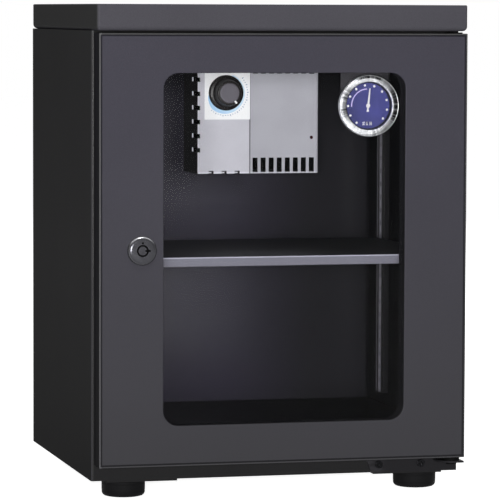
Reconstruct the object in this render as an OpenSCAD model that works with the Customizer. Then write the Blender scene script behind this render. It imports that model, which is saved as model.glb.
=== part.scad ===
// Camera dry cabinet: a sheet steel cabinet with a glazed door, a shelf, a dryer unit and a hygrometer.
// The front faces -Y, +X is to the viewer's right, and the feet stand on z = 0.

/* [Cabinet] */
// Width of the body and the top cover
body_w = 320; // [310:2:400]
// Depth of the body behind the front of its flanges
body_d = 266; // [250:2:340]
// Height of the body from its underside to the top cover
body_h = 377; // [370:1:460]
// Thickness of the cabinet sheet
sheet_t = 1.2; // [0.8:0.1:1.4]
// Height of the plinth, from the underside to the inside floor
plinth_h = 33; // [31:1:45]
// Height of the head rail above the opening
head_h = 20; // [18:1:24]
// Width of each upright front flange
jamb_w = 17; // [16:0.5:20]
// Height of the top cover
cover_h = 22; // [18:1:30]
// Radius of the top cover's upright corners
cover_r = 2.5; // [1.5:0.5:6]
// Overhang of the inner lips that stiffen the top cover
cover_lip = 12; // [8:1:20]

/* [Feet] */
// Diameter of a foot
foot_dia = 37; // [30:1:40]
// Height of a foot under its plate
foot_h = 13.5; // [10:0.5:20]
// Rounding of the lower edge of a foot
foot_round = 3; // [1:0.5:5]
// Centre of a front foot, in from the side of the body
foot_in = 31.5; // [28:0.5:45]
// Centre of a rear foot, in from the side of the body
rear_foot_in = 70; // [45:1:85]
// Centre of a foot, in from the front flange or the back panel
foot_back = 19; // [19:0.5:40]
// Thickness of the plate above each foot
foot_plate_t = 1.5; // [1:0.1:3]
// Width of the plate above each foot
foot_plate_w = 61; // [50:1:70]
// Depth of the plate above each foot
foot_plate_d = 48; // [44:1:60]

/* [Door] */
// Thickness of the door
door_t = 20; // [18:0.5:24]
// Thickness of the closed magnetic seal
seal_t = 4; // [3:0.5:6]
// Thickness of the door sheet
door_sheet_t = 1.2; // [0.8:0.1:1.5]
// Distance from the left side of the body to the door
door_left_gap = 2; // [1:0.5:4]
// Gap between the door and the top cover
door_top_gap = 2; // [1.5:0.5:4]
// Lap of the door below the inside floor
door_sill_lap = 19; // [16:0.5:21]
// Width of the door frame beside the window
window_side = 54.5; // [50:0.5:70]
// Width of the door frame above the window
window_top = 33; // [28:0.5:45]
// Width of the door frame below the window
window_bottom = 34; // [28:0.5:45]
// Radius of the window corners
window_r = 13; // [8:0.5:25]
// Thickness of the window glass
glass_t = 3; // [2:0.5:5]
// Lap of the glass behind the door sheet
glass_lap = 6; // [4:0.5:9]
// Width of the magnetic seal
seal_w = 7; // [5:0.5:9]
// Inset of the magnetic seal from the edges of the door
seal_in = 6.5; // [5.5:0.5:9]

/* [Hinges] */
// Diameter of a hinge pin
pin_dia = 6; // [5:0.5:7]
// Centre of the pins, in from the right edge of the door
pin_in = 9; // [9:0.25:10]
// Centre of the pins, behind the face of the door
pin_back = 9; // [8.5:0.25:9.5]
// Outer diameter of a hinge bush
bush_dia = 10; // [9:0.5:12]
// Depth of a hinge bush inside the door
bush_h = 12; // [8:1:16]
// Width of the flange below the bush
bush_flange_dia = 14; // [13:0.5:16]
// Thickness of the hinge brackets
bracket_t = 1.6; // [1.2:0.1:2]
// Height of the lower hinge bracket
bracket_h = 10.8; // [10:0.1:12]
// Length of the lower hinge bracket
bracket_w = 80; // [75:1:95]
// Width of the tongue that carries the lower pin
tongue_w = 21; // [20:0.5:26]
// Length of the upper hinge bracket
upper_bracket_w = 40; // [30:1:60]

/* [Lock] */
// Diameter of the lock's bezel
lock_bezel_dia = 25; // [24:0.5:28]
// Height of the bezel in front of the door
lock_proud = 4; // [3:0.5:6]
// Diameter of the lock's barrel
lock_barrel_dia = 19; // [18:0.5:20]
// Centre of the lock, in from the left edge of the door
lock_in = 36; // [32:0.5:38]
// Centre of the lock, above the lower edge of the door
lock_up = 181; // [120:1:240]
// Outer diameter of the ring keyway
keyway_dia = 10.1; // [9:0.1:11]
// Width of the ring keyway
keyway_w = 1.4; // [1.1:0.1:1.6]
// Reach of the cam from the lock's axis
cam_reach = 30; // [26:0.5:32]
// Width of the cam
cam_w = 14; // [12:1:16]

/* [Shelf] */
// Height of the shelf's lips
shelf_lip = 8; // [6:0.5:14]
// Depth of the shelf
shelf_d = 208; // [195:1:212]
// Distance from the front flange to the shelf
shelf_front = 11; // [9:1:18]
// Number of slots in a rail below the one that the shelf clips hook into
slots_below_count = 10; // [4:1:14]
// Width of a shelf rail
rail_w = 23; // [20:1:28]
// Depth of a shelf rail
rail_d = 5; // [4:0.5:8]
// Distance between the slots of a rail
slot_pitch = 12; // [11:0.5:16]

/* [Dryer] */
// Width of the control housing
control_w = 48.7; // [46:0.1:60]
// Width of the drying chamber
chamber_w = 64.6; // [62:0.1:80]
// Height of both housings
dryer_h = 104.6; // [100:0.2:130]
// Depth of both housings
dryer_d = 53.4; // [50:0.2:70]
// Wall of the housings
dryer_wall = 1.2; // [1:0.1:1.4]
// Gap between the dryer and the ceiling
dryer_drop = 6; // [4:0.5:20]
// Gap between the dryer and the right side panel
dryer_side = 64.8; // [62:0.2:80]
// Number of slots in each row of the chamber's grille
vent_count = 8; // [4:1:8]
// Distance between those slots
vent_pitch = 7.57; // [7:0.01:8]
// Width of those slots
vent_w = 4.7; // [3:0.1:5]
// Length of those slots
vent_h = 13; // [10:0.5:14]
// Diameter of the knob's skirt
knob_dia = 32; // [28:0.5:34]
// Height of the knob
knob_h = 15.5; // [12:0.5:18]
// Diameter of the knob's shaft
shaft_dia = 6; // [5:0.5:6.5]

/* [Hygrometer] */
// Diameter of the hygrometer's bezel
gauge_dia = 54.6; // [50:0.2:60]
// Width of the bezel's ring
gauge_ring = 6.2; // [5:0.1:8]
// Depth of the hygrometer
gauge_d = 16; // [14:0.5:22]
// Centre of the hygrometer, in from the right side panel
gauge_in = 46.9; // [40:0.1:60]
// Centre of the hygrometer, below the ceiling
gauge_drop = 46.6; // [35:0.1:60]
// Front of the hygrometer, behind the front flange
gauge_back = 106; // [80:1:120]
// Width of the bracket that holds the hygrometer
gauge_bracket_w = 44; // [30:1:48]

/* [Fits] */
// Radial clearance of a shaft or pin that turns in its bore
turn_fit = 0.05; // [0.02:0.01:0.1]
// Clearance beside a part that slides or lifts off
slide_fit = 0.3; // [0.2:0.05:0.5]
// Radial clearance of a screw in its hole
screw_fit = 0.1; // [0.05:0.05:0.3]

/* [Hidden] */
$fn = 64;

// Overrun of every cut past the face that it leaves
cut = 1;

// Screws
screw_r = 2;
screw_head_r = 3.3;
screw_head_h = 2;
screw_len = 8;
screw_through = 2;
cross_w = 1;
cross_len = 3.6;
cross_depth = 1;

// Planes of the cabinet
rear_proud = screw_head_h;
total_d = lock_proud + door_t + seal_t + body_d + rear_proud;
face_y = lock_proud - total_d / 2;
flange_y = face_y + door_t + seal_t;
back_y = flange_y + body_d;
inner_y = back_y - sheet_t;
side_x = body_w / 2;
wall_x = side_x - sheet_t;
base_z = foot_h + foot_plate_t;
floor_z = base_z + plinth_h;
cover_z = base_z + body_h;
ceiling_z = cover_z - head_h;
jamb_x = side_x - jamb_w;

// Planes of the door and its window
door_x0 = door_left_gap - side_x;
door_x1 = side_x;
door_z0 = floor_z - door_sill_lap;
door_z1 = cover_z - door_top_gap;
door_back_y = face_y + door_t;
lining_y = door_back_y - door_sheet_t;
door_rim = 1.5;
door_groove_w = 1;
door_groove_depth = 0.5;
window_x0 = door_x0 + window_side;
window_x1 = door_x1 - window_side;
window_z0 = door_z0 + window_bottom;
window_z1 = door_z1 - window_top;
glass_skin = 0.8;
glass_y = face_y + door_sheet_t + glass_skin;
seal_rim = 2.5;
seal_axis_gap = 0.5;
tunnel_ease = 1;
tunnel_y = glass_y + glass_t + glass_skin;

// Hinges
bracket_x0 = side_x - bracket_w;
bracket_slant = 3.4;
tongue_round_share = 0.7;
hinge_screw_xs = [10.3, 47.8];
hinge_screw_z = 7;
pin_x = door_x1 - pin_in;
pin_y = face_y + pin_back;
pin_r = pin_dia / 2;
tongue_z = base_z + bracket_h;
bush_gap = 0.2;
bush_z = tongue_z + bush_gap;
pin_end = 2;
rivet_h = 1.5;
rivet_r = 4.5;
upper_flange_h = 1;
upper_plate_t = 2;

// Lock
lock_x = door_x0 + lock_in;
lock_z = door_z0 + lock_up;
cam_clear = 0.8;
lock_back_y = flange_y + sheet_t + cam_clear;
barrel_r = lock_barrel_dia / 2;
keyway_r = keyway_dia / 2;
keyway_depth = 6;
plug_sink = 0.4;
cam_t = 2;
cam_hole = 6;
nut_w = 25;
nut_h = 3.5;
cam_screw_r = 1.6;
cam_screw_head_r = 4;
cam_screw_head_h = 1.8;
cam_screw_len = 8;
key_notch_w = 1.7;
key_notch_reach = 1.5;
bezel_round = 2;
bezel_dot_r = 0.7;
bezel_dot_gap = 0.6;
bezel_dot_depth = 0.6;

// Shelf and its rails
rail_gap = 10.6;
rail_top_gap = 9;
rail_front = 42;
rail_rear = 53.3;
rail_t = 1.2;
slot_first = 6;
slot_w = 3;
slot_h = 8;
rail_z0 = floor_z + rail_gap;
rail_z1 = ceiling_z - rail_top_gap;
rail_h = rail_z1 - rail_z0;
slot_count = floor((rail_h - 2 * slot_first) / slot_pitch) + 1;
rail_x = wall_x - rail_d;
rail_ys = [flange_y + rail_front, inner_y - rail_rear];
clip_w = 9;
clip_t = 1.2;
clip_tab_t = 2;
clip_rise = 8.4;
clip_drop = 7;
clip_nose = 3;
clip_notch = 2.6;
hook_w = 2.4;
hook_h = 6;
shelf_z = rail_z0 + slot_first + slots_below_count * slot_pitch + clip_rise;
shelf_top = shelf_z + shelf_lip;
shelf_side_gap = 0.8;
shelf_x = rail_x - shelf_side_gap;
shelf_y0 = flange_y + shelf_front;
shelf_y1 = shelf_y0 + shelf_d;

// Dryer unit
dryer_plate_t = 1.2;
plate_y = inner_y - dryer_plate_t;
dryer_y = plate_y - dryer_d;
dryer_x1 = wall_x - dryer_side;
dryer_x0 = dryer_x1 - chamber_w - control_w;
seam_x = dryer_x1 - chamber_w;
dryer_z1 = ceiling_z - dryer_drop;
dryer_z0 = dryer_z1 - dryer_h;
dryer_mid_z = (dryer_z0 + dryer_z1) / 2;
dryer_r = 2.6;
front_in_y = dryer_y + dryer_wall;
vent_low_z = dryer_z0 + dryer_wall;
vent_shift = 0.8;
vent_x0 = seam_x + (chamber_w - (vent_count - 1) * vent_pitch) / 2 - vent_shift;
side_vent_count = 7;
side_vent_first = 21.3;
side_vent_pitch = 12.75;
side_vent_h = 4;
side_vent_reach = 22;
side_vent_wrap = 2.4;
foot_vent_count = 3;
foot_vent_first = 12.6;
foot_vent_pitch = 12.2;
foot_vent_w = 4.6;
foot_vent_h = 2.5;
foot_vent_reach = 8;
scale_t = 0.5;
scale_left = 6.4;
scale_up = 49;
scale_drop = 2.5;
scale_z0 = dryer_z0 + scale_up;
scale_z1 = dryer_z1 - scale_drop;

// Shutters of the drying chamber: the lower and the upper one are mirror images about the middle
shutter_t = 1;
shutter_lap = 0.4;
shutter_lift = 0.6;
shutter_h = vent_h + shutter_lap;
shutter_travel = vent_h + shutter_lift;
shutter_low_z = vent_low_z + slide_fit + shutter_travel;
shutter_x0 = seam_x + dryer_wall + slide_fit;
shutter_x1 = dryer_x1 - dryer_r;
shutter_y0 = front_in_y + slide_fit;
shutter_y1 = plate_y - slide_fit;
arm_t = 1.2;
arm_h = 6;
pad_w = 6;
pad_t = 1.2;
spring_dia = 5;
spring_wire = 0.8;
spring_y = (shutter_y0 + shutter_y1) / 2;
spring_ease = 0.1;
spring_turns = 10;
spring_steps = 12;
wire_sides = 6;
rear_vent_ease = 0.4;

// Desiccant and heater inside the chamber
heater_leg = 14;
heater_h = 8;
heater_w = 44;
heater_d = 36;
heater_leg_w = 4;
fin_count = 6;
fin_gap = 3;
fin_cut = 5;
desiccant_h = 58;
desiccant_hole_r = 2.2;
desiccant_across = 5;
desiccant_deep = 4;
desiccant_z0 = dryer_z0 + dryer_wall + heater_leg + heater_h;
chamber_x = (seam_x + dryer_x1) / 2;

// Knob, potentiometer and control board
knob_in = 22.9;
knob_up = 73.2;
knob_x = seam_x - knob_in;
knob_z = dryer_z0 + knob_up;
knob_gap = 0.6;
knob_skirt_h = 4;
knob_taper = 1.8;
knob_body_in = 3.4;
knob_wall = 2;
knob_turned = 145;
mark_w = 1.2;
mark_depth = 0.6;
boss_wall = 2.4;
bushing_r = 4.5;
bushing_out = 4;
pot_w = 17;
pot_t = 8;
board_w = 40;
board_h = 84;
board_t = 1.6;
module_w = 30;
module_h = 26;
module_d = 20;
module_drop = 2;
led_r = 1.5;
led_len = 5;
led_proud = 1;
led_in = 6.8;
led_up = 32.4;
led_x = dryer_x1 - led_in;
led_z = dryer_z0 + led_up;

// Power inlet through the back panel
inlet_in = 24.3;
inlet_up = 24;
inlet_x = seam_x - inlet_in;
inlet_z = dryer_z0 + inlet_up;
inlet_w = 24;
inlet_h = 15;
inlet_d = 18;
inlet_flange = 4;
inlet_flange_t = 1.5;
socket_w = 15.4;
socket_h = 8;
socket_r = 3.5;
socket_d = 13;
inlet_pin_r = 1.2;
inlet_pin_pitch = 8.6;
inlet_pin_len = 11;

// Hygrometer
gauge_x = wall_x - gauge_in;
gauge_z = ceiling_z - gauge_drop;
gauge_y = flange_y + gauge_back;
gauge_r = gauge_dia / 2;
bezel_wall = 2.3;
gauge_case_r = gauge_r - bezel_wall;
gauge_wall = 1.2;
bezel_depth = 5;
bezel_edge = 1;
glass_in = 2;
gauge_glass_t = 1.5;
dial_in = 6;
dial_t = 0.6;
needle_in = 4.2;
needle_t = 0.5;
needle_w = 1.1;
needle_len = 15.4;
needle_tail = 5.4;
needle_hub_r = 1.9;
needle_turned = 5.8;
spindle_r = 0.8;
spindle_hole_r = 1.4;
spindle_end = 0.3;
bearing_r = 3;
bearing_h = 2.4;
coil_w = 2.4;
coil_gap = 1.2;
coil_t = 0.3;
coil_turns = 5;
coil_step = 2.1;
coil_start = 2.2;
coil_points = 24;
coil_in = dial_in + dial_t + coil_gap;
gauge_boss_r = 2;
gauge_boss_at = coil_start + coil_turns * coil_step + coil_t / 2 + gauge_boss_r;
gauge_foot = 14;
gauge_bracket_below = 8;

dryer_screw_in = 6;
foot_screw_sink = 5;

// Places of the feet and of the screws
foot_at = [for (sx = [-1, 1]) each [
    [sx * (side_x - foot_in), flange_y + foot_back],
    [sx * (side_x - rear_foot_in), back_y - foot_back]]];
dryer_screw_at = [
    [dryer_x0 + dryer_screw_in, dryer_z0 + dryer_screw_in],
    [dryer_x0 + dryer_screw_in, dryer_z1 - dryer_screw_in],
    [seam_x + dryer_screw_in, dryer_mid_z],
    [dryer_x1 - dryer_screw_in, dryer_mid_z]
];
gauge_screw_at = [for (side = [-1, 1])
    [gauge_x + side * gauge_bracket_w / 4, gauge_y + gauge_d + sheet_t + gauge_foot / 2]];

// A box between two corners
module block(x0, x1, y0, y1, z0, z1) {
    translate([x0, y0, z0]) cube([x1 - x0, y1 - y0, z1 - z0]);
}

// A flat rectangle with round corners, from one corner to the other
module round_rect(x0, z0, x1, z1, r) {
    translate([x0 + r, z0]) square([x1 - x0 - 2 * r, z1 - z0]);
    translate([x0, z0 + r]) square([x1 - x0, z1 - z0 - 2 * r]);
    for (x = [x0 + r, x1 - r]) for (z = [z0 + r, z1 - r]) translate([x, z]) circle(r);
}

// An outline drawn in X and Z, made solid from y0 to y1
module slab(y0, y1) {
    translate([0, y1, 0]) rotate([90, 0, 0]) linear_extrude(y1 - y0) children();
}

// A cylinder along +Y
module rod(x, z, y0, y1, r) {
    translate([x, y0, z]) rotate([-90, 0, 0]) cylinder(h = y1 - y0, r = r);
}

// A cylinder along +Z
module post(x, y, z0, z1, r) {
    translate([x, y, z0]) cylinder(h = z1 - z0, r = r);
}

// A pan head screw with its head up and the underside of the head at z = 0
module pan_screw(len = screw_len) {
    difference() {
        union() {
            cylinder(h = screw_head_h, r = screw_head_r);
            translate([0, 0, -len]) cylinder(h = len, r = screw_r);
        }
        for (a = [0, 90]) rotate(a)
            translate([-cross_len / 2, -cross_w / 2, screw_head_h - cross_depth])
                cube([cross_len, cross_w, cross_depth + cut]);
    }
}

module left_side_panel() {
    color("#2b2b2d") block(-side_x, -wall_x, flange_y, back_y, base_z, cover_z);
}

module right_side_panel() {
    color("#2b2b2d") block(wall_x, side_x, flange_y, back_y, base_z, cover_z);
}

// Each rear grille is covered by its shutter at rest
module rear_vents(y0, y1) {
    for (i = [0 : vent_count - 1]) {
        x = vent_x0 + i * vent_pitch;
        for (side = [-1, 1]) {
            z = dryer_mid_z + side * (dryer_mid_z - shutter_low_z - shutter_h / 2);
            h = shutter_h - 2 * rear_vent_ease;
            block(x - vent_w / 2, x + vent_w / 2, y0 - cut, y1 + cut, z - h / 2, z + h / 2);
        }
    }
}

module back_panel() {
    color("#2b2b2d") difference() {
        block(-wall_x, wall_x, inner_y, back_y, base_z, cover_z);
        rear_vents(inner_y, back_y);
        inlet_cut(inner_y, back_y);
        for (p = dryer_screw_at) rod(p[0], p[1], inner_y - cut, back_y + cut, screw_r + screw_fit);
    }
}

module inlet_cut(y0, y1) {
    block(inlet_x - inlet_w / 2 - slide_fit, inlet_x + inlet_w / 2 + slide_fit, y0 - cut, y1 + cut,
        inlet_z - inlet_h / 2 - slide_fit, inlet_z + inlet_h / 2 + slide_fit);
}

module floor_panel() {
    color("#2b2b2d") block(-wall_x, wall_x, flange_y + sheet_t, inner_y, floor_z - sheet_t, floor_z);
}

module base_plate() {
    color("#232325") difference() {
        block(-wall_x, wall_x, flange_y + sheet_t, inner_y, base_z, base_z + sheet_t);
        for (p = foot_at) post(p[0], p[1], base_z - cut, base_z + sheet_t + cut, screw_r + screw_fit);
    }
}

module ceiling_panel() {
    color("#2b2b2d") difference() {
        block(-wall_x, wall_x, flange_y + sheet_t, inner_y, ceiling_z, ceiling_z + sheet_t);
        for (p = gauge_screw_at)
            post(p[0], p[1], ceiling_z - cut, ceiling_z + sheet_t + cut, screw_r + screw_fit);
    }
}

// A pan with its mouth down, closed under the front overhang
module top_cover() {
    color("#3d3c42") difference() {
        translate([0, 0, cover_z]) linear_extrude(cover_h)
            round_rect(-side_x, face_y, side_x, back_y, cover_r);
        translate([0, 0, cover_z + sheet_t]) linear_extrude(cover_h - 2 * sheet_t)
            round_rect(-wall_x, face_y + sheet_t, wall_x, inner_y, cover_r - sheet_t / 2);
        block(cover_lip - side_x, side_x - cover_lip, flange_y + cover_lip, back_y - cover_lip,
            cover_z - cut, cover_z + cover_h / 2);
        post(pin_x, pin_y, cover_z - cut, cover_z + sheet_t + cut, pin_r + slide_fit);
    }
}

module left_jamb() {
    color("#2b2b2d") block(-wall_x, -jamb_x, flange_y, flange_y + sheet_t, base_z, cover_z);
}

module right_jamb() {
    color("#2b2b2d") block(jamb_x, wall_x, flange_y, flange_y + sheet_t, base_z, cover_z);
}

module plinth_rail() {
    color("#2b2b2d") difference() {
        block(-jamb_x, jamb_x, flange_y, flange_y + sheet_t, base_z, floor_z);
        for (x = hinge_screw_xs)
            rod(bracket_x0 + x, base_z + hinge_screw_z, flange_y - cut, flange_y + sheet_t + cut,
                screw_r + screw_fit);
    }
}

module head_rail() {
    color("#2b2b2d") block(-jamb_x, jamb_x, flange_y, flange_y + sheet_t, ceiling_z, cover_z);
}

// The plates reach the front edge at the front, and the back edge at the back
module foot_plates() {
    color("#1c1c1e") for (p = foot_at) {
        sx = sign(p[0]);
        sy = p[1] < 0 ? -1 : 1;
        x1 = abs(p[0]) + foot_dia / 2;
        edge_y = sy < 0 ? flange_y : back_y;
        difference() {
            block(min(sx * x1, sx * (x1 - foot_plate_w)), max(sx * x1, sx * (x1 - foot_plate_w)),
                min(edge_y, edge_y - sy * foot_plate_d), max(edge_y, edge_y - sy * foot_plate_d),
                base_z - foot_plate_t, base_z);
            post(p[0], p[1], base_z - foot_plate_t - cut, base_z + cut, screw_r + screw_fit);
        }
    }
}

// Each foot is turned, with a round lower edge and a well for its screw
module feet() {
    r = foot_dia / 2;
    color("#161617") for (p = foot_at) translate([p[0], p[1], 0]) difference() {
        rotate_extrude() union() {
            translate([0, foot_round]) square([r, foot_h - foot_round]);
            square([r - foot_round, foot_h]);
            translate([r - foot_round, foot_round]) circle(foot_round);
        }
        translate([0, 0, -cut]) cylinder(h = foot_screw_sink + cut, r = screw_head_r + 2 * slide_fit);
        cylinder(h = foot_h + cut, r = screw_r + screw_fit);
    }
}

// A channel open to the side panel, with a row of slots for the clips
module shelf_rail(y) {
    difference() {
        block(rail_x, wall_x, y - rail_w / 2, y + rail_w / 2, rail_z0, rail_z1);
        block(rail_x + rail_t, wall_x + cut, y - rail_w / 2 + rail_t, y + rail_w / 2 - rail_t,
            rail_z0 - cut, rail_z1 + cut);
        for (i = [0 : slot_count - 1]) {
            z = rail_z0 + slot_first + i * slot_pitch;
            block(rail_x - cut, rail_x + rail_t + cut, y - slot_w / 2, y + slot_w / 2,
                z - slot_h / 2, z + slot_h / 2);
        }
    }
}

module right_shelf_rails() {
    color("#37363c") for (y = rail_ys) shelf_rail(y);
}

module left_shelf_rails() {
    color("#37363c") mirror([1, 0, 0]) for (y = rail_ys) shelf_rail(y);
}

// A clip hangs in a slot by its hook and carries the shelf's lip on its tab
module shelf_clip(y) {
    z_slot = shelf_z - clip_rise;
    z_tab = shelf_z + clip_notch;
    nose_x = shelf_x - sheet_t - slide_fit;
    block(rail_x - clip_t, rail_x, y - clip_w / 2, y + clip_w / 2, z_slot - clip_drop, z_tab);
    block(nose_x - clip_t, rail_x - clip_t, y - clip_w / 2, y + clip_w / 2, z_tab - clip_tab_t, z_tab);
    block(nose_x - clip_t, nose_x, y - clip_w / 2, y + clip_w / 2, z_tab - clip_tab_t, z_tab + clip_nose);
    block(rail_x, rail_x + rail_t + clip_t, y - hook_w / 2, y + hook_w / 2,
        z_slot - hook_h / 2, z_slot + hook_h / 2 - clip_t);
    block(rail_x + rail_t + slide_fit, rail_x + rail_t + clip_t, y - hook_w / 2, y + hook_w / 2,
        z_slot - slot_h / 2 - clip_t, z_slot);
}

module shelf_clips() {
    color("#c2c2c6") for (m = [0, 1]) mirror([m, 0, 0]) for (y = rail_ys) shelf_clip(y);
}

// A tray with its lips down, whose notches drop over the clips
module shelf() {
    color("#75747d") difference() {
        block(-shelf_x, shelf_x, shelf_y0, shelf_y1, shelf_z, shelf_top);
        block(sheet_t - shelf_x, shelf_x - sheet_t, shelf_y0 + sheet_t, shelf_y1 - sheet_t,
            shelf_z - cut, shelf_top - sheet_t);
        for (y = rail_ys) block(-shelf_x - cut, shelf_x + cut, y - clip_w / 2 - slide_fit,
            y + clip_w / 2 + slide_fit, shelf_z - cut, shelf_z + clip_notch);
    }
}

// An angle on the plinth: a strip with a slanted left end, and a tongue that reaches under the door
module lower_hinge_bracket() {
    color("#38373c") difference() {
        union() {
            slab(flange_y - bracket_t, flange_y) polygon([
                [bracket_x0 + bracket_slant, base_z], [side_x, base_z],
                [side_x, tongue_z], [bracket_x0, tongue_z]]);
            translate([0, 0, tongue_z - bracket_t]) linear_extrude(bracket_t)
                lower_tongue();
        }
        for (x = hinge_screw_xs)
            rod(bracket_x0 + x, base_z + hinge_screw_z, flange_y - bracket_t - cut, flange_y + cut,
                screw_r + screw_fit);
        post(pin_x, pin_y, tongue_z - bracket_t - cut, tongue_z + cut, pin_r);
    }
}

// The tongue in plan, with a round front left corner
module lower_tongue() {
    front_y = face_y + sheet_t;
    r = tongue_w * tongue_round_share;
    x0 = side_x - tongue_w;
    intersection() {
        translate([x0, front_y]) square([tongue_w, flange_y - front_y]);
        union() {
            translate([x0 + r, front_y]) square([tongue_w, r]);
            translate([x0, front_y + r]) square([tongue_w, flange_y - front_y]);
            translate([x0 + r, front_y + r]) circle(r);
        }
    }
}

module lower_hinge_pin() {
    color("#b9b9bd") union() {
        post(pin_x, pin_y, tongue_z - bracket_t, bush_z + bush_h, pin_r);
        post(pin_x, pin_y, tongue_z - bracket_t - rivet_h, tongue_z - bracket_t, rivet_r);
    }
}

// A plate welded inside the top cover's overhang
module upper_hinge_bracket() {
    z = cover_z + sheet_t;
    color("#38373c") difference() {
        block(wall_x - upper_bracket_w, wall_x - cover_r, face_y + sheet_t + cover_r, flange_y,
            z, z + upper_plate_t);
        post(pin_x, pin_y, z - cut, z + upper_plate_t + cut, pin_r);
    }
}

module upper_hinge_pin() {
    z = cover_z + sheet_t + upper_plate_t;
    color("#b9b9bd") union() {
        post(pin_x, pin_y, door_z1 - bush_h, z, pin_r);
        post(pin_x, pin_y, z, z + rivet_h, rivet_r);
    }
}

module hinge_screws() {
    color("#4a4a4e") for (x = hinge_screw_xs)
        translate([bracket_x0 + x, flange_y - bracket_t, base_z + hinge_screw_z])
            rotate([90, 0, 0]) pan_screw();
}

// The screws under the feet, behind the dryer and above the hygrometer's bracket
module pan_screws() {
    color("#9b9ba0") union() {
        for (p = foot_at) translate([p[0], p[1], foot_screw_sink])
            rotate([180, 0, 0]) pan_screw(foot_h + foot_plate_t + sheet_t - foot_screw_sink + screw_through);
        for (p = dryer_screw_at) translate([p[0], back_y, p[1]]) rotate([-90, 0, 0]) pan_screw();
        for (p = gauge_screw_at) translate([p[0], p[1], ceiling_z - sheet_t])
            rotate([180, 0, 0]) pan_screw();
    }
}

// The window's outline, grown by a margin
module window_outline(grow) {
    round_rect(window_x0 - grow, window_z0 - grow, window_x1 + grow, window_z1 + grow,
        window_r + grow);
}

// The face of the door, drawn in from its edges by a margin
module door_outline(inset) {
    translate([door_x0 + inset, door_z0 + inset])
        square([door_x1 - door_x0 - 2 * inset, door_z1 - door_z0 - 2 * inset]);
}

// The door's front sheet with its four returns, and a groove that sets off a rim round its face
module door_skin() {
    color("#49484e") difference() {
        block(door_x0, door_x1, face_y, door_back_y, door_z0, door_z1);
        block(door_x0 + door_sheet_t, door_x1 - door_sheet_t, face_y + door_sheet_t, door_back_y + cut,
            door_z0 + door_sheet_t, door_z1 - door_sheet_t);
        slab(face_y - cut, face_y + door_groove_depth) difference() {
            door_outline(door_rim);
            door_outline(door_rim + door_groove_w);
        }
        slab(face_y - cut, face_y + door_sheet_t + cut) window_outline(0);
        rod(lock_x, lock_z, face_y - cut, face_y + door_sheet_t + cut, barrel_r + screw_fit);
        post(pin_x, pin_y, door_z0 - cut, door_z0 + door_sheet_t + cut, bush_dia / 2);
        post(pin_x, pin_y, door_z1 - door_sheet_t - cut, door_z1 + cut, bush_dia / 2);
    }
}

// The door's inner sheet, with a tunnel that holds the glass
module door_lining() {
    color("#333237") difference() {
        union() {
            block(door_x0 + door_sheet_t, door_x1 - door_sheet_t, lining_y, door_back_y,
                door_z0 + door_sheet_t, door_z1 - door_sheet_t);
            slab(tunnel_y, lining_y) window_outline(tunnel_ease + door_sheet_t);
        }
        slab(tunnel_y - cut, door_back_y + cut) window_outline(tunnel_ease);
        rod(lock_x, lock_z, lining_y - cut, door_back_y + cut, barrel_r + screw_fit);
    }
}

module window_glass() {
    color("#9fb3b8", 0.3) slab(glass_y, glass_y + glass_t) window_outline(glass_lap);
}

// A channel of rubber round the edge of the glass
module glass_seal() {
    color("#111112") difference() {
        slab(face_y + door_sheet_t, tunnel_y) window_outline(glass_lap + seal_rim);
        slab(glass_y, glass_y + glass_t) window_outline(glass_lap);
        slab(face_y + door_sheet_t - cut, tunnel_y + cut) window_outline(tunnel_ease / 2);
    }
}

// The magnetic seal between the door and the front flanges
module door_gasket() {
    x0 = door_x0 + seal_in;
    x1 = pin_x - seal_axis_gap;
    z0 = door_z0 + seal_in;
    z1 = door_z1 - seal_in;
    color("#1a1a1b") difference() {
        block(x0, x1, door_back_y, flange_y, z0, z1);
        block(x0 + seal_w, x1 - seal_w, door_back_y - cut, flange_y + cut, z0 + seal_w, z1 - seal_w);
    }
}

module hinge_bushes() {
    color("#e4e2dc") {
        difference() {
            union() {
                post(pin_x, pin_y, door_z0, door_z0 + bush_h, bush_dia / 2);
                post(pin_x, pin_y, bush_z, door_z0, bush_flange_dia / 2);
            }
            post(pin_x, pin_y, bush_z - cut, door_z0 + bush_h + cut, pin_r + turn_fit);
        }
        difference() {
            union() {
                post(pin_x, pin_y, door_z1 - bush_h - pin_end, door_z1, bush_dia / 2);
                post(pin_x, pin_y, door_z1, door_z1 + upper_flange_h, bush_flange_dia / 2);
            }
            post(pin_x, pin_y, door_z1 - bush_h - pin_end - cut, door_z1 + upper_flange_h + cut,
                pin_r + turn_fit);
        }
    }
}

// The barrel of the lock with its bezel, bored for the plug and notched for the key
module lock_barrel() {
    bezel_r = lock_bezel_dia / 2;
    depth = lock_back_y - face_y;
    color("#6b6b71") translate([lock_x, face_y, lock_z]) rotate([90, 0, 0]) difference() {
        union() {
            rotate_extrude() union() {
                square([bezel_r - bezel_round, lock_proud]);
                square([bezel_r, lock_proud - bezel_round]);
                translate([bezel_r - bezel_round, lock_proud - bezel_round]) circle(bezel_round);
            }
            translate([0, 0, -depth]) cylinder(h = depth, r = barrel_r);
        }
        translate([0, 0, -depth - cut]) cylinder(h = depth + lock_proud + 2 * cut, r = keyway_r);
        translate([0, -key_notch_w / 2, lock_proud - keyway_depth])
            cube([keyway_r + key_notch_reach, key_notch_w, keyway_depth + cut]);
        translate([0, keyway_r + bezel_dot_gap + bezel_dot_r, lock_proud - bezel_dot_depth])
            cylinder(h = bezel_dot_depth + cut, r = bezel_dot_r);
    }
}

module lock_nut() {
    color("#9d9da3") difference() {
        translate([lock_x, door_back_y, lock_z]) rotate([-90, 0, 0])
            cylinder(h = nut_h, r = nut_w / 2 / cos(30), $fn = 6);
        rod(lock_x, lock_z, door_back_y - cut, door_back_y + nut_h + cut, barrel_r);
    }
}

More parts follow.
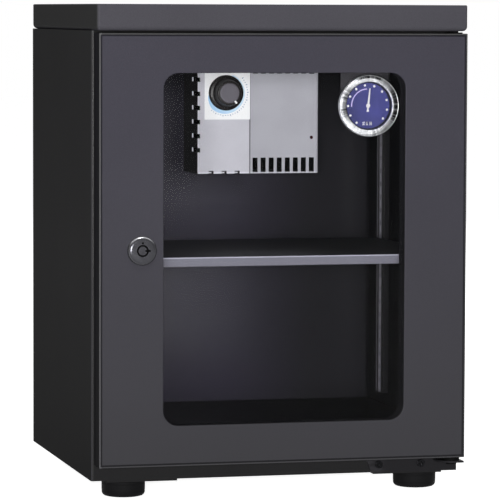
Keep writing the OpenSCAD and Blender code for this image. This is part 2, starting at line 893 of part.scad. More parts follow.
// The plug turns in the barrel: a post in the ring keyway, a shaft, and a square end for the cam
module lock_plug() {
    post_r = keyway_r - keyway_w;
    front_y = face_y - lock_proud;
    color("#55555a") difference() {
        union() {
            rod(lock_x, lock_z, front_y + plug_sink, lock_back_y, post_r);
            rod(lock_x, lock_z, front_y + keyway_depth, lock_back_y, keyway_r - turn_fit);
            block(lock_x - cam_hole / 2, lock_x + cam_hole / 2, lock_back_y, lock_back_y + cam_t,
                lock_z - cam_hole / 2, lock_z + cam_hole / 2);
        }
        block(lock_x + post_r - keyway_w, lock_x + post_r + cut, front_y - cut, front_y + keyway_depth,
            lock_z - key_notch_w / 2, lock_z + key_notch_w / 2);
        rod(lock_x, lock_z, lock_back_y + cam_t - cam_screw_len, lock_back_y + cam_t + cut, cam_screw_r);
    }
}

// The cam hangs down at rest, and turns towards the left flange
module lock_cam() {
    r = cam_w / 2;
    color("#a9a9ae") difference() {
        union() {
            rod(lock_x, lock_z, lock_back_y, lock_back_y + cam_t, r);
            block(lock_x - r, lock_x + r, lock_back_y, lock_back_y + cam_t, lock_z - cam_reach, lock_z);
        }
        block(lock_x - cam_hole / 2, lock_x + cam_hole / 2, lock_back_y - cut, lock_back_y + cam_t + cut,
            lock_z - cam_hole / 2, lock_z + cam_hole / 2);
    }
}

module cam_screw() {
    y = lock_back_y + cam_t;
    color("#8f8f94") union() {
        rod(lock_x, lock_z, y, y + cam_screw_head_h, cam_screw_head_r);
        rod(lock_x, lock_z, y - cam_screw_len, y, cam_screw_r);
    }
}

// A rectangle in plan whose front left corner is round
module corner_plan(x0, x1, y0, y1, r) {
    translate([x0 + r, y0]) square([x1 - x0 - r, y1 - y0]);
    translate([x0, y0 + r]) square([x1 - x0, y1 - y0 - r]);
    translate([x0 + r, y0 + r]) circle(r);
}

// A housing open at the back, with the round corner on its left
module dryer_shell(x0, x1) {
    translate([0, 0, dryer_z0]) linear_extrude(dryer_h)
        corner_plan(x0, x1, dryer_y, plate_y, dryer_r);
}

module dryer_hollow(x0, x1) {
    translate([0, 0, dryer_z0 + dryer_wall]) linear_extrude(dryer_h - 2 * dryer_wall)
        corner_plan(x0 + dryer_wall, x1 - dryer_wall, front_in_y, plate_y + cut, dryer_r - dryer_wall);
}

module control_housing() {
    color("#3a3a3e") difference() {
        dryer_shell(dryer_x0, seam_x);
        dryer_hollow(dryer_x0, seam_x);
        for (i = [0 : side_vent_count - 1]) {
            z = dryer_z0 + side_vent_first + i * side_vent_pitch;
            block(dryer_x0 - cut, dryer_x0 + side_vent_wrap, dryer_y - cut, dryer_y + side_vent_reach,
                z - side_vent_h / 2, z + side_vent_h / 2);
        }
        for (i = [0 : foot_vent_count - 1]) {
            x = dryer_x0 + foot_vent_first + i * foot_vent_pitch;
            block(x - foot_vent_w / 2, x + foot_vent_w / 2, dryer_y - cut, dryer_y + foot_vent_reach,
                dryer_z0 - cut, dryer_z0 + foot_vent_h);
        }
        rod(knob_x, knob_z, dryer_y - cut, front_in_y + cut, bushing_r);
    }
}

module chamber_housing() {
    color("#c9c8ce") difference() {
        mirror([1, 0, 0]) dryer_shell(-dryer_x1, -seam_x);
        mirror([1, 0, 0]) dryer_hollow(-dryer_x1, -seam_x);
        for (i = [0 : vent_count - 1]) for (z = [vent_low_z, dryer_z1 - dryer_wall - vent_h]) {
            x = vent_x0 + i * vent_pitch;
            block(x - vent_w / 2, x + vent_w / 2, dryer_y - cut, front_in_y + cut, z, z + vent_h);
        }
        rod(led_x, led_z, dryer_y - cut, front_in_y + cut, led_r);
    }
}

module dryer_back_plate() {
    color("#303034") difference() {
        block(dryer_x0, dryer_x1, plate_y, inner_y, dryer_z0, dryer_z1);
        rear_vents(plate_y, inner_y);
        inlet_cut(plate_y, inner_y);
        for (p = dryer_screw_at) rod(p[0], p[1], plate_y - cut, inner_y + cut, screw_r + screw_fit);
    }
}

module scale_plate() {
    color("#f0f0f0") difference() {
        block(dryer_x0 + scale_left, seam_x, dryer_y - scale_t, dryer_y, scale_z0, scale_z1);
        rod(knob_x, knob_z, dryer_y - scale_t - cut, dryer_y + cut, bushing_r + slide_fit);
    }
}

// The potentiometer's threaded neck comes through the front of the housing
module potentiometer() {
    color("#3c5a78") difference() {
        union() {
            block(knob_x - pot_w / 2, knob_x + pot_w / 2, front_in_y, front_in_y + pot_t,
                knob_z - pot_w / 2, knob_z + pot_w / 2);
            rod(knob_x, knob_z, dryer_y - bushing_out, front_in_y, bushing_r);
        }
        rod(knob_x, knob_z, dryer_y - bushing_out - cut, front_in_y + pot_t + cut, shaft_dia / 2 + turn_fit);
    }
}

module control_board() {
    x = (dryer_x0 + seam_x) / 2;
    y = front_in_y + pot_t;
    color("#1f5c3a") block(x - board_w / 2, x + board_w / 2, y, y + board_t,
        dryer_mid_z - board_h / 2, dryer_mid_z + board_h / 2);
}

module power_module() {
    x = (dryer_x0 + seam_x) / 2;
    y = front_in_y + pot_t + board_t;
    z = dryer_mid_z + board_h / 2 - module_drop;
    color("#26262a") block(x - module_w / 2, x + module_w / 2, y, y + module_d, z - module_h, z);
}

// A snap-in inlet with a flange outside the back panel and a socket for a two-pole lead
module power_inlet() {
    rear_y = back_y + inlet_flange_t;
    w = inlet_w / 2;
    h = inlet_h / 2;
    color("#141416") difference() {
        union() {
            block(inlet_x - w, inlet_x + w, back_y - inlet_d, back_y, inlet_z - h, inlet_z + h);
            block(inlet_x - w - inlet_flange, inlet_x + w + inlet_flange, back_y, rear_y,
                inlet_z - h - inlet_flange, inlet_z + h + inlet_flange);
        }
        slab(rear_y - socket_d, rear_y + cut) round_rect(inlet_x - socket_w / 2, inlet_z - socket_h / 2,
            inlet_x + socket_w / 2, inlet_z + socket_h / 2, socket_r);
    }
}

module inlet_pins() {
    y = back_y + inlet_flange_t - socket_d;
    color("#c8b26a") for (side = [-1, 1])
        rod(inlet_x + side * inlet_pin_pitch / 2, inlet_z, y, y + inlet_pin_len, inlet_pin_r);
}

// A knob with a flared skirt, hollow round the potentiometer's neck, with a boss for the shaft
module humidity_knob() {
    r = knob_dia / 2;
    back_plane = dryer_y - scale_t - knob_gap;
    shaft_r = shaft_dia / 2;
    color("#1b1b1d") translate([knob_x, back_plane, knob_z]) rotate([90, 0, 0]) difference() {
        union() {
            difference() {
                rotate_extrude() polygon([
                    [0, 0], [r, 0], [r, knob_skirt_h - knob_taper], [r - knob_taper, knob_skirt_h],
                    [r - knob_body_in, knob_skirt_h], [r - knob_body_in - knob_taper, knob_h],
                    [0, knob_h]]);
                translate([0, 0, -cut])
                    cylinder(h = knob_h - knob_wall + cut, r = r - knob_body_in - knob_taper - knob_wall);
            }
            translate([0, 0, bushing_out]) cylinder(h = knob_h - knob_wall - bushing_out,
                r = shaft_r + boss_wall);
        }
        translate([0, 0, -cut]) cylinder(h = knob_h - 2 * knob_wall + cut, r = shaft_r);
        rotate(-knob_turned) translate([-mark_w / 2, 0, knob_h - mark_depth])
            translate([0, r - knob_body_in - knob_taper - knob_wall, 0])
                cube([mark_w, knob_wall + cut, mark_depth + cut]);
    }
}

module knob_shaft() {
    back_plane = dryer_y - scale_t - knob_gap;
    color("#b4b4b8") rod(knob_x, knob_z, back_plane - knob_h + 2 * knob_wall, front_in_y + pot_t - turn_fit,
        shaft_dia / 2);
}

module status_led() {
    color("#d8532c") rod(led_x, led_z, dryer_y - led_proud, dryer_y - led_proud + led_len, led_r);
}

// A canister with air holes from end to end, on top of the heater
module desiccant_cartridge() {
    px = heater_w / desiccant_across;
    py = heater_d / desiccant_deep;
    x0 = chamber_x - heater_w / 2;
    y0 = spring_y - heater_d / 2;
    color("#8c8f94") difference() {
        block(x0, x0 + heater_w, y0, y0 + heater_d, desiccant_z0, desiccant_z0 + desiccant_h);
        for (i = [0 : desiccant_across - 1]) for (j = [0 : desiccant_deep - 1])
            post(x0 + (i + 1 / 2) * px, y0 + (j + 1 / 2) * py, desiccant_z0 - cut,
                desiccant_z0 + desiccant_h + cut, desiccant_hole_r);
    }
}

// A heater block with cooling fins below, on four legs on the housing's floor
module heater_block() {
    x0 = chamber_x - heater_w / 2;
    y0 = spring_y - heater_d / 2;
    z = desiccant_z0 - heater_h;
    pitch = heater_w / fin_count;
    color("#b98a4a") {
        difference() {
            block(x0, x0 + heater_w, y0, y0 + heater_d, z, desiccant_z0);
            for (i = [0 : fin_count - 1])
                block(x0 + (i + 1 / 2) * pitch - fin_gap / 2, x0 + (i + 1 / 2) * pitch + fin_gap / 2,
                    y0 - cut, y0 + heater_d + cut, z - cut, z + fin_cut);
        }
        for (x = [x0, x0 + heater_w - heater_leg_w]) for (y = [y0, y0 + heater_d - heater_leg_w])
            block(x, x + heater_leg_w, y, y + heater_leg_w, z - heater_leg, z + heater_h - fin_gap);
    }
}

// A frame round the heater: a front and a rear shutter joined by two side arms with spring pads
module lower_shutter() {
    z0 = shutter_low_z;
    z1 = shutter_low_z + shutter_h;
    color("#dcdce0") {
        for (y = [shutter_y0, shutter_y1 - shutter_t])
            block(shutter_x0, shutter_x1, y, y + shutter_t, z0, z1);
        for (x = [shutter_x0, shutter_x1 - arm_t])
            block(x, x + arm_t, shutter_y0, shutter_y1, z1 - arm_h, z1);
        for (x = [shutter_x0, shutter_x1 - arm_t - pad_w])
            block(x, x + arm_t + pad_w, spring_y - pad_w / 2, spring_y + pad_w / 2, z1 - pad_t, z1);
    }
}

module upper_shutter() {
    translate([0, 0, 2 * dryer_mid_z]) mirror([0, 0, 1]) lower_shutter();
}

// Points of a helical wire, one ring of them at each step
function wire_points(r, w, z0, z1, n) = [for (i = [0 : n]) for (k = [0 : wire_sides - 1])
    let (a = i * 360 / spring_steps, b = k * 360 / wire_sides, q = r + w * cos(b))
        [q * cos(a), q * sin(a), z0 + w + (z1 - z0 - 2 * w) * i / n + w * sin(b)]];
function wire_faces(n) = concat(
    [[for (k = [0 : wire_sides - 1]) k]],
    [for (i = [0 : n - 1]) for (k = [0 : wire_sides - 1]) for (half = [0, 1])
        let (m = (k + 1) % wire_sides, a = i * wire_sides, b = (i + 1) * wire_sides)
            half == 0 ? [a + k, b + k, b + m] : [a + k, b + m, a + m]],
    [[for (k = [wire_sides - 1 : -1 : 0]) n * wire_sides + k]]);

// A compression spring between the pads of the two shutters
module shutter_spring(x) {
    n = spring_turns * spring_steps;
    z0 = shutter_low_z + shutter_h + spring_ease;
    translate([x, spring_y, 0]) polyhedron(
        points = wire_points((spring_dia - spring_wire) / 2, spring_wire / 2, z0,
            2 * dryer_mid_z - z0, n),
        faces = wire_faces(n));
}

module memory_spring() {
    color("#c7a25a") shutter_spring(shutter_x0 + arm_t + pad_w / 2);
}

module return_spring() {
    color("#9a9aa0") shutter_spring(shutter_x1 - arm_t - pad_w / 2);
}

// Turns what is drawn with its depth along +Z so that it faces the front at the hygrometer's centre
module at_gauge() {
    translate([gauge_x, gauge_y, gauge_z]) rotate([-90, 0, 0]) children();
}

// An angle that hangs from the ceiling behind the case
module gauge_bracket() {
    x0 = gauge_x - gauge_bracket_w / 2;
    x1 = gauge_x + gauge_bracket_w / 2;
    y = gauge_y + gauge_d;
    color("#4a494f") difference() {
        union() {
            block(x0, x1, y, y + sheet_t, gauge_z - gauge_bracket_below, ceiling_z);
            block(x0, x1, y, y + sheet_t + gauge_foot, ceiling_z - sheet_t, ceiling_z);
        }
        for (p = gauge_screw_at)
            post(p[0], p[1], ceiling_z - sheet_t - cut, ceiling_z + cut, screw_r + screw_fit);
    }
}

// A cup with two bosses for the dial and a bearing for the spindle
module gauge_case() {
    color("#2c2c30") at_gauge() difference() {
        union() {
            difference() {
                translate([0, 0, glass_in]) cylinder(h = gauge_d - glass_in, r = gauge_case_r);
                translate([0, 0, glass_in - cut])
                    cylinder(h = gauge_d - glass_in - gauge_wall + cut, r = gauge_case_r - gauge_wall);
            }
            translate([0, 0, gauge_d - gauge_wall - bearing_h]) cylinder(h = bearing_h, r = bearing_r);
            for (side = [-1, 1]) translate([side * gauge_boss_at, 0, dial_in + dial_t])
                cylinder(h = gauge_d - gauge_wall - dial_in - dial_t, r = gauge_boss_r);
        }
        translate([0, 0, gauge_d - gauge_wall - bearing_h - cut])
            cylinder(h = bearing_h + cut, r = spindle_r + turn_fit);
    }
}

module gauge_bezel() {
    r_in = gauge_r - gauge_ring;
    color("#c9c9cd") at_gauge() rotate_extrude() polygon([
        [gauge_r, bezel_edge], [gauge_r - bezel_edge, 0], [r_in, glass_in - bezel_edge / 2],
        [r_in, glass_in], [gauge_case_r, glass_in], [gauge_case_r, bezel_depth],
        [gauge_r, bezel_depth]]);
}

module gauge_glass() {
    color("#c4d4d8", 0.3) at_gauge() translate([0, 0, glass_in])
        cylinder(h = gauge_glass_t, r = gauge_case_r - gauge_wall);
}

module gauge_dial() {
    color("#4c4c95") at_gauge() translate([0, 0, dial_in]) difference() {
        cylinder(h = dial_t, r = gauge_case_r - gauge_wall);
        translate([0, 0, -cut]) cylinder(h = dial_t + 2 * cut, r = spindle_hole_r);
    }
}

function spiral(grow, steps) = [for (i = steps)
    let (a = i * 360 / coil_points, q = coil_start + coil_step * i / coil_points + grow)
        [q * cos(a), q * sin(a)]];

// A flat spiral strip whose outer end rests on a boss of the case
module humidity_coil() {
    n = coil_turns * coil_points;
    color("#b5763c") at_gauge() translate([0, 0, coil_in]) linear_extrude(coil_w)
        polygon(concat(spiral(coil_t / 2, [0 : n]), spiral(-coil_t / 2, [n : -1 : 0])));
}

// A tapered pointer with its hub, its spindle and the collet at the coil
module gauge_needle() {
    collet_r = coil_start - coil_t / 2 - slide_fit;
    color("#e8e8ea") at_gauge() union() {
        translate([0, 0, needle_in]) rotate(needle_turned) linear_extrude(needle_t) polygon([
            [-needle_w / 2, needle_tail], [needle_w / 2, needle_tail],
            [needle_w / 2, 0], [needle_w / 4, -needle_len], [-needle_w / 4, -needle_len],
            [-needle_w / 2, 0]]);
        translate([0, 0, needle_in - needle_t / 2]) cylinder(h = 2 * needle_t, r = needle_hub_r);
        translate([0, 0, needle_in])
            cylinder(h = gauge_d - gauge_wall - needle_in - spindle_end, r = spindle_r);
        translate([0, 0, coil_in]) cylinder(h = coil_w, r = collet_r);
    }
}

left_side_panel();
right_side_panel();
back_panel();
floor_panel();
base_plate();
ceiling_panel();
top_cover();
left_jamb();
right_jamb();
plinth_rail();
head_rail();
foot_plates();
feet();
left_shelf_rails();
right_shelf_rails();
shelf_clips();
shelf();
lower_hinge_bracket();
lower_hinge_pin();
upper_hinge_bracket();
upper_hinge_pin();
hinge_screws();
pan_screws();
door_skin();
door_lining();
window_glass();
glass_seal();
door_gasket();
hinge_bushes();
lock_barrel();
lock_nut();
lock_plug();
lock_cam();
cam_screw();
control_housing();
chamber_housing();
dryer_back_plate();
scale_plate();
potentiometer();
control_board();
power_module();
power_inlet();
inlet_pins();
humidity_knob();
knob_shaft();
status_led();
desiccant_cartridge();
heater_block();
lower_shutter();
upper_shutter();
memory_spring();
return_spring();
gauge_bracket();
gauge_case();
gauge_bezel();
gauge_glass();
gauge_dial();
humidity_coil();
gauge_needle();
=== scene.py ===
"""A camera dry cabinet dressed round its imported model, on a pale floor in soft studio light.

Lengths are in metres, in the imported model's frame: X to the right, Y to the back, Z up from the feet.
"""

import math

import bmesh
import bpy
from bpy.props import FloatProperty, FloatVectorProperty, IntProperty, PointerProperty
from mathutils import Matrix, Vector


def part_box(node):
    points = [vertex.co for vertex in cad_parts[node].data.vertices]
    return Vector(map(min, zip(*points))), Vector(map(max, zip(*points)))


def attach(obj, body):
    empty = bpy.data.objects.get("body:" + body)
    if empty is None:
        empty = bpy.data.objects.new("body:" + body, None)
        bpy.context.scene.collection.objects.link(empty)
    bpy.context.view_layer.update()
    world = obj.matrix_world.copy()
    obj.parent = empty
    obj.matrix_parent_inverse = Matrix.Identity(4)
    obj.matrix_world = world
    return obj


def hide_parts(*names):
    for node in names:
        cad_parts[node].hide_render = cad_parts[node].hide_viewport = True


bl_info = {
    "name": "Camera Dry Cabinet",
    "version": (1, 0, 0),
    "blender": (4, 5, 0),
    "location": "3D View > Sidebar > Dry Cabinet",
    "description": "Dresses the packed dry cabinet piece by piece and sets its stage",
    "category": "Object",
}

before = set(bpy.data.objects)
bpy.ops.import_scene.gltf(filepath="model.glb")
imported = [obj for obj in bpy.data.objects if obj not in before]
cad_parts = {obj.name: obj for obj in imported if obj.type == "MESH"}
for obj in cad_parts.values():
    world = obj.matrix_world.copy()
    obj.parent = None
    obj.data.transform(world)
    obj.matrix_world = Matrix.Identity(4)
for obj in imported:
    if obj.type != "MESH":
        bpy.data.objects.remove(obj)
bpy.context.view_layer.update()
MM = 0.001
AHEAD = Vector((0, -1, 0))
UP = Vector((0, 0, 1))


def colour_setting(label, description, default):
    return FloatVectorProperty(name=label, description=description, default=default,
                               subtype="COLOR", min=0, max=1)


def length_setting(label, description, default):
    return FloatProperty(name=label, description=description, default=default, min=0,
                         unit="LENGTH", precision=5)


def share_setting(label, description, default):
    return FloatProperty(name=label, description=description, default=default, min=0, max=1,
                         subtype="FACTOR")


class CabinetPaint(bpy.types.PropertyGroup):
    door: colour_setting("Door", "Charcoal powder coat of the door", (0.036, 0.0345, 0.044))
    cover: colour_setting("Top cover", "Charcoal powder coat of the top cover", (0.046, 0.0445, 0.052))
    shell: colour_setting("Shell", "Black powder coat of the shell", (0.021, 0.0208, 0.0215))
    lining: colour_setting("Inside", "Powder coat inside the shell, where it is lightest",
                           (0.027, 0.023, 0.045))
    # Painted shade: the inside's tone at the right, darker than the paint itself.
    lining_in_painted_shade: colour_setting("Inside, dark", "Powder coat inside the shell at the right",
                                (0.0105, 0.0102, 0.013))
    outer_gloss: share_setting("Outer gloss", "Gloss of the powder coat outside", 0.035)
    inner_gloss: share_setting("Inner gloss", "Gloss of the powder coat inside", 0.86)
    bend_gloss: share_setting("Bend gloss", "Gloss where the sheet is bent at the front", 0.25)
    door_gloss: share_setting("Door gloss", "Gloss of the door's face", 0.05)
    shelf: colour_setting("Shelf lip", "Grey powder coat on the shelf's front lip", (0.138, 0.136, 0.167))
    # Painted shade: the dark tone on the shelf's faces not turned to the front.
    shelf_in_painted_shade: colour_setting("Shelf", "Powder coat on the rest of the shelf", (0.0085, 0.0085, 0.0095))
    bracket: colour_setting("Brackets", "Paint of the hinge and hygrometer brackets",
                            (0.055, 0.053, 0.06))
    rail: colour_setting("Rails", "Powder coat of the shelf rails", (0.03, 0.029, 0.034))
    grain: length_setting("Grain", "Size of the powder coat's grain", 0.0007)
    relief: length_setting("Relief", "Depth of the powder coat's grain", 0.00003)
    gloss_loss: share_setting("Roughness", "Roughness of the powder coat's gloss", 0.25)


class CabinetSheets(bpy.types.PropertyGroup):
    side_bend: length_setting("Side bend", "Outer radius of the bends at the front", 0.0022)
    cover_roll: length_setting("Cover roll", "Radius under the top cover's edge", 0.004)
    cover_bend: length_setting("Cover bend", "Radius at the top cover's upper edge", 0.0012)
    door_bend: length_setting("Door bend", "Radius at the door's outer edge", 0.0006)
    door_rim: length_setting("Door rim", "Width of the bead round the door's face", 0.0015)
    door_groove: length_setting("Door groove", "Width of the groove inside the bead", 0.001)
    groove_depth: length_setting("Groove depth", "Depth of that groove", 0.0005)
    window_bend: length_setting("Window bend", "Radius at the window's edge", 0.0008)
    ease: length_setting("Eased edge", "Rounding of the other sheet edges", 0.0003)


class CabinetDryer(bpy.types.PropertyGroup):
    silver: colour_setting("Control front", "Silver grey of the half with the knob", (0.56, 0.556, 0.615))
    silver_chamber: colour_setting("Chamber front", "Silver grey of the half with the slots",
                                   (0.42, 0.42, 0.466))
    dark: colour_setting("Sides", "Dark sides of the dryer", (0.0095, 0.0095, 0.0105))
    edge: length_setting("Edge", "Rounding of the housings' edges", 0.0009)
    band: colour_setting("Scale band", "Light blue crescent round the knob", (0.33, 0.57, 0.84))
    band_reach: length_setting("Band reach", "Outer radius of the crescent", 0.0192)
    knob: colour_setting("Knob", "Black plastic of the knob", (0.0105, 0.009, 0.0092))
    cap: colour_setting("Knob cap", "Grey cap of the knob", (0.108, 0.101, 0.122))
    cap_radius: length_setting("Cap radius", "Radius of the knob's cap", 0.0089)


class CabinetHygrometer(bpy.types.PropertyGroup):
    dial: colour_setting("Dial", "Blue of the dial", (0.05, 0.053, 0.23))
    marks: colour_setting("Marks", "White of the dots", (0.95, 0.94, 0.98))
    arc: colour_setting("Arc", "Violet of the arc", (0.62, 0.54, 0.96))
    dot_radius: length_setting("Dot radius", "Radius of one dot", 0.00105)
    dot_ring: length_setting("Dot ring", "Radius of the ring of dots", 0.0181)
    dot_count: IntProperty(name="Dots", description="Number of dots on the dial", default=11, min=2)
    arc_radius: length_setting("Arc radius", "Radius of the arc", 0.0148)


class CabinetStudio(bpy.types.PropertyGroup):
    key: FloatProperty(name="Key light", description="Power of the large light in front",
                       default=113, min=0, unit="POWER")
    top: FloatProperty(name="Top light", description="Power of the light above the front",
                       default=10, min=0, unit="POWER")
    side: FloatProperty(name="Side light", description="Power of the narrow light at the left",
                        default=3, min=0, unit="POWER")
    back: FloatProperty(name="Back light", description="Power of the light behind, at the right",
                        default=60, min=0, unit="POWER")
    room: share_setting("Room light", "Strength of the light from all around", 0.1)
    floor: share_setting("Floor", "Whiteness of the floor", 0.8)
    floor_glow: share_setting("Floor glow", "Brightness added to the floor in the camera's eye", 0.92)


def settings(name):
    return getattr(bpy.context.scene, name)


def shade(colour, factor):
    return tuple(min(1.0, channel * factor) for channel in colour)


class Finish:
    """One finish, built node by node round a principled shader, in the piece's own coordinates."""

    def __init__(self, name):
        self.material = bpy.data.materials.new(name)
        self.material.use_nodes = True
        self.tree = self.material.node_tree
        self.shader = self.tree.nodes["Principled BSDF"]
        coordinates = self.node("TexCoord")
        self.place = coordinates.outputs["Object"]
        self.facing = coordinates.outputs["Normal"]

    def give(self, socket, value):
        if isinstance(value, bpy.types.NodeSocket):
            self.tree.links.new(value, socket)
        elif socket.type == "RGBA":
            socket.default_value = (*value[:3], 1)
        else:
            socket.default_value = value

    def node(self, kind, inputs=None, **options):
        node = self.tree.nodes.new("ShaderNode" + kind)
        for option, value in options.items():
            setattr(node, option, value)
        for socket, value in (inputs or {}).items():
            self.give(node.inputs[socket], value)
        return node

    def surface(self, inputs):
        for socket, value in inputs.items():
            self.give(self.shader.inputs[socket], value)
        return self.material

    def math(self, operation, *values):
        return self.node("Math", dict(enumerate(values)), operation=operation).outputs[0]

    def blend(self, share, low, high):
        mix = self.node("Mix", {"Factor": share, 6: low, 7: high}, data_type="RGBA")
        return mix.outputs[2]

    def ranged(self, value, low, high, start=0.0, end=1.0):
        inputs = {"Value": value, "From Min": start, "From Max": end, "To Min": low, "To Max": high}
        return self.node("MapRange", inputs).outputs[0]

    def stretched(self, factors):
        return self.node("VectorMath", {0: self.place, 1: factors}, operation="MULTIPLY").outputs[0]

    def cloud(self, size, detail=2.0, stretch=None):
        """Clouds about size metres across, from 0 to 1."""
        place = self.stretched(stretch) if stretch else self.place
        inputs = {"Vector": place, "Scale": 1 / size, "Detail": detail}
        return self.node("TexNoise", inputs).outputs[0]

    def toned(self, colour, *clouds):
        """The colour made lighter and darker by clouds, each given as (cloud, share)."""
        total = 0.0
        reach = sum(share for cloud, share in clouds)
        for cloud, share in clouds:
            total = self.math("MULTIPLY_ADD", cloud, share, total)
        return self.blend(self.ranged(total, 0, 1, reach * 0.3, reach * 0.7),
                          shade(colour, 1 - reach), shade(colour, 1 + reach))

    def relief(self, height, depth, under=None):
        inputs = {"Height": height, "Distance": depth, "Strength": 1.0}
        if under:
            inputs["Normal"] = under
        return self.node("Bump", inputs).outputs[0]

    def axis(self, source, name):
        return self.node("SeparateXYZ", {0: source}).outputs[name]

    def plain(self):
        """The base colour that the shader has so far."""
        return self.shader.inputs["Base Color"].links[0].from_socket

    def scaled(self, colour, level):
        return self.node("VectorMath", {0: colour, "Scale": level}, operation="SCALE").outputs[0]

    def away_from(self, middle):
        """The way from a middle to each point."""
        return self.node("VectorMath", {0: self.place, 1: middle}, operation="SUBTRACT").outputs[0]

    def off_axis(self, away):
        """How far that way leads from the axis that runs from front to back."""
        flat = self.node("VectorMath", {0: away, 1: (1, 0, 1)}, operation="MULTIPLY").outputs[0]
        return self.node("VectorMath", {0: flat}, operation="LENGTH").outputs["Value"]

    def within(self, low, high):
        """1 inside a box in the piece's own coordinates, 0 outside it."""
        half = (high - low) / 2
        away = self.away_from((low + high) / 2)
        away = self.node("VectorMath", {0: away}, operation="ABSOLUTE").outputs[0]
        inside = 1.0
        for name, reach in zip("XYZ", half):
            inside = self.math("MULTIPLY", inside, self.math("LESS_THAN", self.axis(away, name), reach))
        return inside


FINISHES = {}


def finish(maker, *values):
    """A finish is made once, and shared by the pieces that have it."""
    if maker.__name__ not in FINISHES:
        FINISHES[maker.__name__] = maker(*values)
    return FINISHES[maker.__name__]


# Finishes of the sheet metal

def powder_coat(name, colour, gloss, roughness=0.55):
    """Baked powder: a fine grain under a thin film of gloss, a little uneven in tone."""
    paint = settings("cabinet_paint")
    f = Finish(name)
    grain = f.cloud(paint.grain, 3)
    cloud = f.cloud(0.14, 3)
    normal = f.relief(grain, paint.relief)
    f.surface({
        "Base Color": f.toned(colour, (grain, 0.10), (cloud, 0.05)),
        "Roughness": f.ranged(f.math("MULTIPLY_ADD", cloud, 0.4, grain),
                              roughness - 0.07, roughness + 0.07, 0.4, 1.0),
        "Specular IOR Level": 0.0,
        "Normal": normal,
        "Coat Weight": gloss,
        "Coat Roughness": paint.gloss_loss,
        "Coat Normal": f.relief(grain, paint.relief * 0.25),
    })
    return f


def door_coat():
    """Charcoal with a glossier face, a painted highlight on the bead round it, and painted shade in the
    groove, on the returns and low down.
    """
    paint = settings("cabinet_paint")
    f = powder_coat("door_powder_coat", paint.door, paint.outer_gloss)
    low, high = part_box("door_skin")
    rim, groove = settings("cabinet_sheets").door_rim, settings("cabinet_sheets").door_groove
    # A neutral tone for the painted highlight on the bead, and a tone for painted shade low down.
    painted_bead_highlight_tone, painted_low_shade_tone = (0.0355, 0.0355, 0.036), (0.0355, 0.035, 0.0375)
    height = f.axis(f.place, "Z")

    def inside(margin, back=high.y):
        return f.within(Vector((low.x + margin, low.y - MM, low.z + margin)),
                        Vector((high.x - margin, back, high.z - margin)))

    face = inside(-MM, low.y + 0.7 * MM)
    beyond_bead = inside(rim - 0.35 * MM)
    beyond_groove = inside(rim + groove)
    # Painted highlight on the bead round the face, and painted shade in the groove inside it.
    light = f.math("MULTIPLY", face, f.math("SUBTRACT", 1.0, beyond_bead))
    dark = f.math("SUBTRACT", beyond_bead, beyond_groove)
    plain = f.plain()
    # The bead's painted highlight is strongest on its left side.
    left = f.math("LESS_THAN", f.axis(f.place, "X"), low.x + 2 * MM)
    behind = f.ranged(f.axis(f.facing, "Y"), 0, 0.65, 0.5, 0.8)
    # Off the face, the returns are painted down to about a third as painted shade; faces turned to the back
    # keep their tone.
    level = f.math("MULTIPLY_ADD", light, f.ranged(left, 0.25, 1.0), f.ranged(face, 0.35, 1.0))
    level = f.math("ADD", level, behind)
    plain = f.blend(light, plain, painted_bead_highlight_tone)
    # Painted shade low down: darker and less blue towards the bottom.
    level = f.math("MULTIPLY", level, f.ranged(height, 0.88, 1.0, 30 * MM, 200 * MM))
    plain = f.blend(f.ranged(height, 0.8, 0.0, 30 * MM, 330 * MM), plain, painted_low_shade_tone)
    # Painted shade in the groove.
    level = f.math("MULTIPLY", level, f.ranged(dark, 1.0, 0.4))
    f.surface({
        "Base Color": f.scaled(plain, level),
        "Coat Weight": f.ranged(face, paint.outer_gloss * 0.6, paint.door_gloss),
    })
    return f.material


def cover_coat():
    """Charcoal, with painted shade on the faces turned to the left."""
    paint = settings("cabinet_paint")
    f = powder_coat("cover_powder_coat", paint.cover, 0.03)
    plain = f.plain()
    # Painted shade: faces turned to the left get a darker tone.
    aside = f.ranged(f.axis(f.facing, "X"), 1, 0, -0.9, -0.6)
    painted_side_shade_tone = (0.034, 0.034, 0.0345)
    return f.surface({"Base Color": f.blend(aside, plain, painted_side_shade_tone)})


